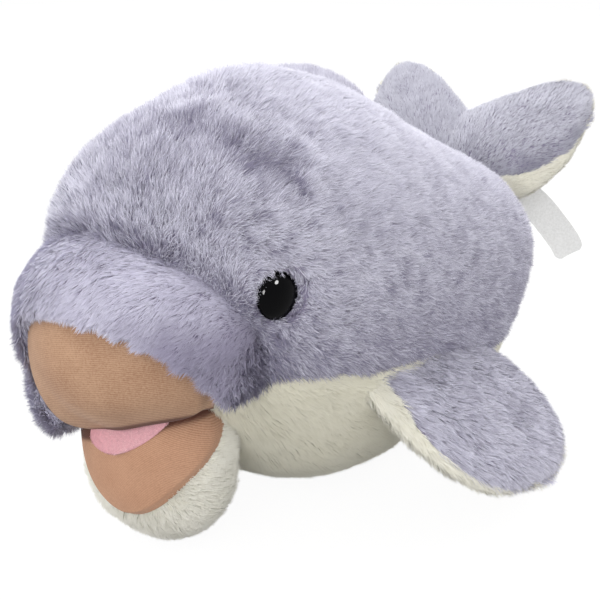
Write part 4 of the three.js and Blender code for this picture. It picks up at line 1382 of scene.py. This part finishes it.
def make_label():
    facing = unit(np.array([0.57, -0.755, 0.326]))
    t = np.linspace(0, len(LABEL_LINE) - 1, LABEL_POINTS)
    path = np.stack([np.interp(t, np.arange(len(LABEL_LINE)), LABEL_LINE[:, k]) for k in range(3)], axis=-1)
    for _ in range(30):
        path[1:-1] = 0.5 * path[1:-1] + 0.25 * (path[:-2] + path[2:])
    ways = unit(np.gradient(path, axis=0))
    wide = unit(np.cross(ways, facing))
    out = np.cross(wide, ways)
    share = np.linspace(0, 1, LABEL_POINTS)
    rounding = 1 - 0.35 * np.clip((share - 0.9) / 0.1, 0, 1) ** 3
    v = np.linspace(-1, 1, 15)
    curl = 1.2 * (v ** 2)[None, :] * (0.4 + share)[:, None] + 0.5 * np.sin(share * 7)[:, None]
    across = (LABEL_HALF * rounding)[:, None] * v
    grid = path[:, None, :] + wide[:, None, :] * across[..., None] + out[:, None, :] * curl[..., None]
    normals = grid_normals(grid, path[:, None, :] - out[:, None, :] * 9)
    obj = skin("care_tape", grid, normals, "care_label", LABEL, ["care_label"])


# Fill that follows the cloth over it at one depth
BODY_FILL_DEPTH = 5.0
SNOUT_FILL_SHARE = 0.8
SNOUT_FILL_SKIN = -8.0
SNOUT_FILL_OFFSET = np.array([0, 12.0, 12.0])


def snout_fill_reach(ways):
    far = reach(MOUTH + SNOUT_FILL_OFFSET, ways, lambda p: palate_value(p, SNOUT_FILL_SKIN))
    return SNOUT_FILL_SHARE * far


def make_fill():
    grid, normals = body_grid(end_shares(60, 0.1), -180.0, 180.0, 100, 1)
    skin("body_fill", grid - normals * BODY_FILL_DEPTH, normals, "torso", FILL,
         ["body_stuffing"])
    phi = np.linspace(-math.pi, math.pi, 80)[None, :]
    psi = np.radians(np.linspace(2, 150, 50))[:, None]
    centre = MOUTH + SNOUT_FILL_OFFSET
    grid = mouth_grid(centre, phi, psi, snout_fill_reach)
    skin("snout_fill", grid, grid_normals(grid, centre), "torso", FILL, ["snout_stuffing"])


def finish_frame_nodes():
    """Nodes of the frame that stay, all inside: the fill of the jaw and the limbs, and the washers."""
    for name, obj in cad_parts.items():
        for word, material in (("stuffing", FILL), ("washer", WASHER)):
            if word in name:
                obj.data.materials.clear()
                obj.data.materials.append(material)


make_body()
make_snout()
make_palate()
make_jaw()
make_tongue()
make_eye("left", 1)
make_eye("right", -1)
make_fin()
make_flipper("left", 1)
make_flipper("right", -1)
make_tail()
make_flukes()
make_label()
make_fill()
finish_frame_nodes()


# Stage: white floor, soft studio light and the camera
FLOOR_HALF = 6.0
FLOOR_GLOW = 1.2
FLOOR_GLOW_SHARE = 0.78
# Strength of the world as light and as the background that is seen
WORLD_LIGHT = 0.8
WORLD_SEEN = 1.0
TARGET = Vector((0, SHIFT_Y * MM, 0.095))


def background_share(tree):
    """1 for the rays that see the background itself, in gloss and through glass too, and 0 for its light."""
    rays = tree.nodes.new("ShaderNodeLightPath").outputs
    share = maths(tree, "MAXIMUM", rays["Is Camera Ray"], rays["Is Glossy Ray"])
    return maths(tree, "MAXIMUM", share, rays["Is Transmission Ray"])


def make_floor():
    mesh = bpy.data.meshes.new("floor")
    corners = [(x * FLOOR_HALF, y * FLOOR_HALF, 0) for x, y in ((-1, -1), (1, -1), (1, 1), (-1, 1))]
    mesh.from_pydata(corners, [], [(0, 1, 2, 3)])
    floor = bpy.data.objects.new("floor", mesh)
    bpy.context.scene.collection.objects.link(floor)
    material, tree, _ = new_material(
        "floor_white", Base_Color=(0.5, 0.5, 0.5, 1), Roughness=0.9, Specular_IOR_Level=0.1
    )
    glow = node(tree, "ShaderNodeEmission", Strength=FLOOR_GLOW)
    mix = tree.nodes.new("ShaderNodeMixShader")
    share = maths(tree, "MULTIPLY", background_share(tree), FLOOR_GLOW_SHARE)
    surfaces = (share, tree.nodes["Principled BSDF"].outputs[0], glow.outputs[0])
    for socket, given in zip(mix.inputs, surfaces):
        feed(tree, socket, given)
    feed(tree, tree.nodes["Material Output"].inputs["Surface"], mix.outputs[0])
    mesh.materials.append(material)


def make_world():
    world = bpy.data.worlds.new("studio")
    bpy.context.scene.world = world
    world.use_nodes = True
    tree = world.node_tree
    back = tree.nodes["Background"].inputs
    back["Color"].default_value = WHITE
    seen = background_share(tree)
    span = node(tree, "ShaderNodeMapRange", Value=seen, To_Min=WORLD_LIGHT, To_Max=WORLD_SEEN)
    feed(tree, back["Strength"], span.outputs["Result"])


def add_lamp(name, way, distance, size, energy, spark=False):
    """Round soft box aimed at the toy. A spark only shows in gloss, the others only light."""
    data = bpy.data.lights.new(name, "AREA")
    data.shape = "DISK"
    data.size = size
    data.energy = energy
    lamp = bpy.data.objects.new(name, data)
    bpy.context.scene.collection.objects.link(lamp)
    lamp.location = TARGET + Vector(way).normalized() * distance
    lamp.rotation_euler = (TARGET - lamp.location).to_track_quat("-Z", "Y").to_euler()
    lamp.visible_glossy = spark
    lamp.visible_diffuse = not spark
    lamp.visible_camera = False


# Camera: focal length in pixels of a 600 pixel picture, angles in degrees, metres from the target
FOCAL_PIXELS = 967
PICTURE_PIXELS = 600
SENSOR_WIDTH = 36
CAMERA_AZIMUTH = 37
CAMERA_ELEVATION = 19
CAMERA_DISTANCE = 0.55


def make_camera():
    azimuth = math.radians(CAMERA_AZIMUTH)
    elevation = math.radians(CAMERA_ELEVATION)
    flat = math.cos(elevation)
    way = Vector((math.sin(azimuth) * flat, -math.cos(azimuth) * flat, math.sin(elevation)))
    data = bpy.data.cameras.new("camera")
    data.sensor_width = SENSOR_WIDTH
    data.lens = FOCAL_PIXELS / PICTURE_PIXELS * SENSOR_WIDTH
    data.clip_start = 0.01
    camera = bpy.data.objects.new("camera", data)
    bpy.context.scene.collection.objects.link(camera)
    camera.location = TARGET + way * CAMERA_DISTANCE
    camera.rotation_euler = (-way).to_track_quat("-Z", "Y").to_euler()
    bpy.context.scene.camera = camera


bpy.context.scene.view_settings.view_transform = "Standard"
make_floor()
make_world()
add_lamp("top_box", way=(-0.2, 0.15, 0.95), distance=1.2, size=0.9, energy=7)
add_lamp("left_box", way=(-0.75, -0.6, 0.15), distance=1.2, size=0.6, energy=3.0)
add_lamp("front_box", way=(0.4, -0.85, 0.35), distance=1.3, size=0.9, energy=6.5)
add_lamp("back_box", way=(0.45, 0.8, 0.5), distance=1.3, size=0.9, energy=4)
add_lamp("spark_high", way=(0.906, 0.08, 0.415), distance=1.1, size=0.2, energy=16, spark=True)
add_lamp("spark_left", way=(0.676, -0.691, 0.257), distance=1.1, size=0.24, energy=16, spark=True)
make_camera()
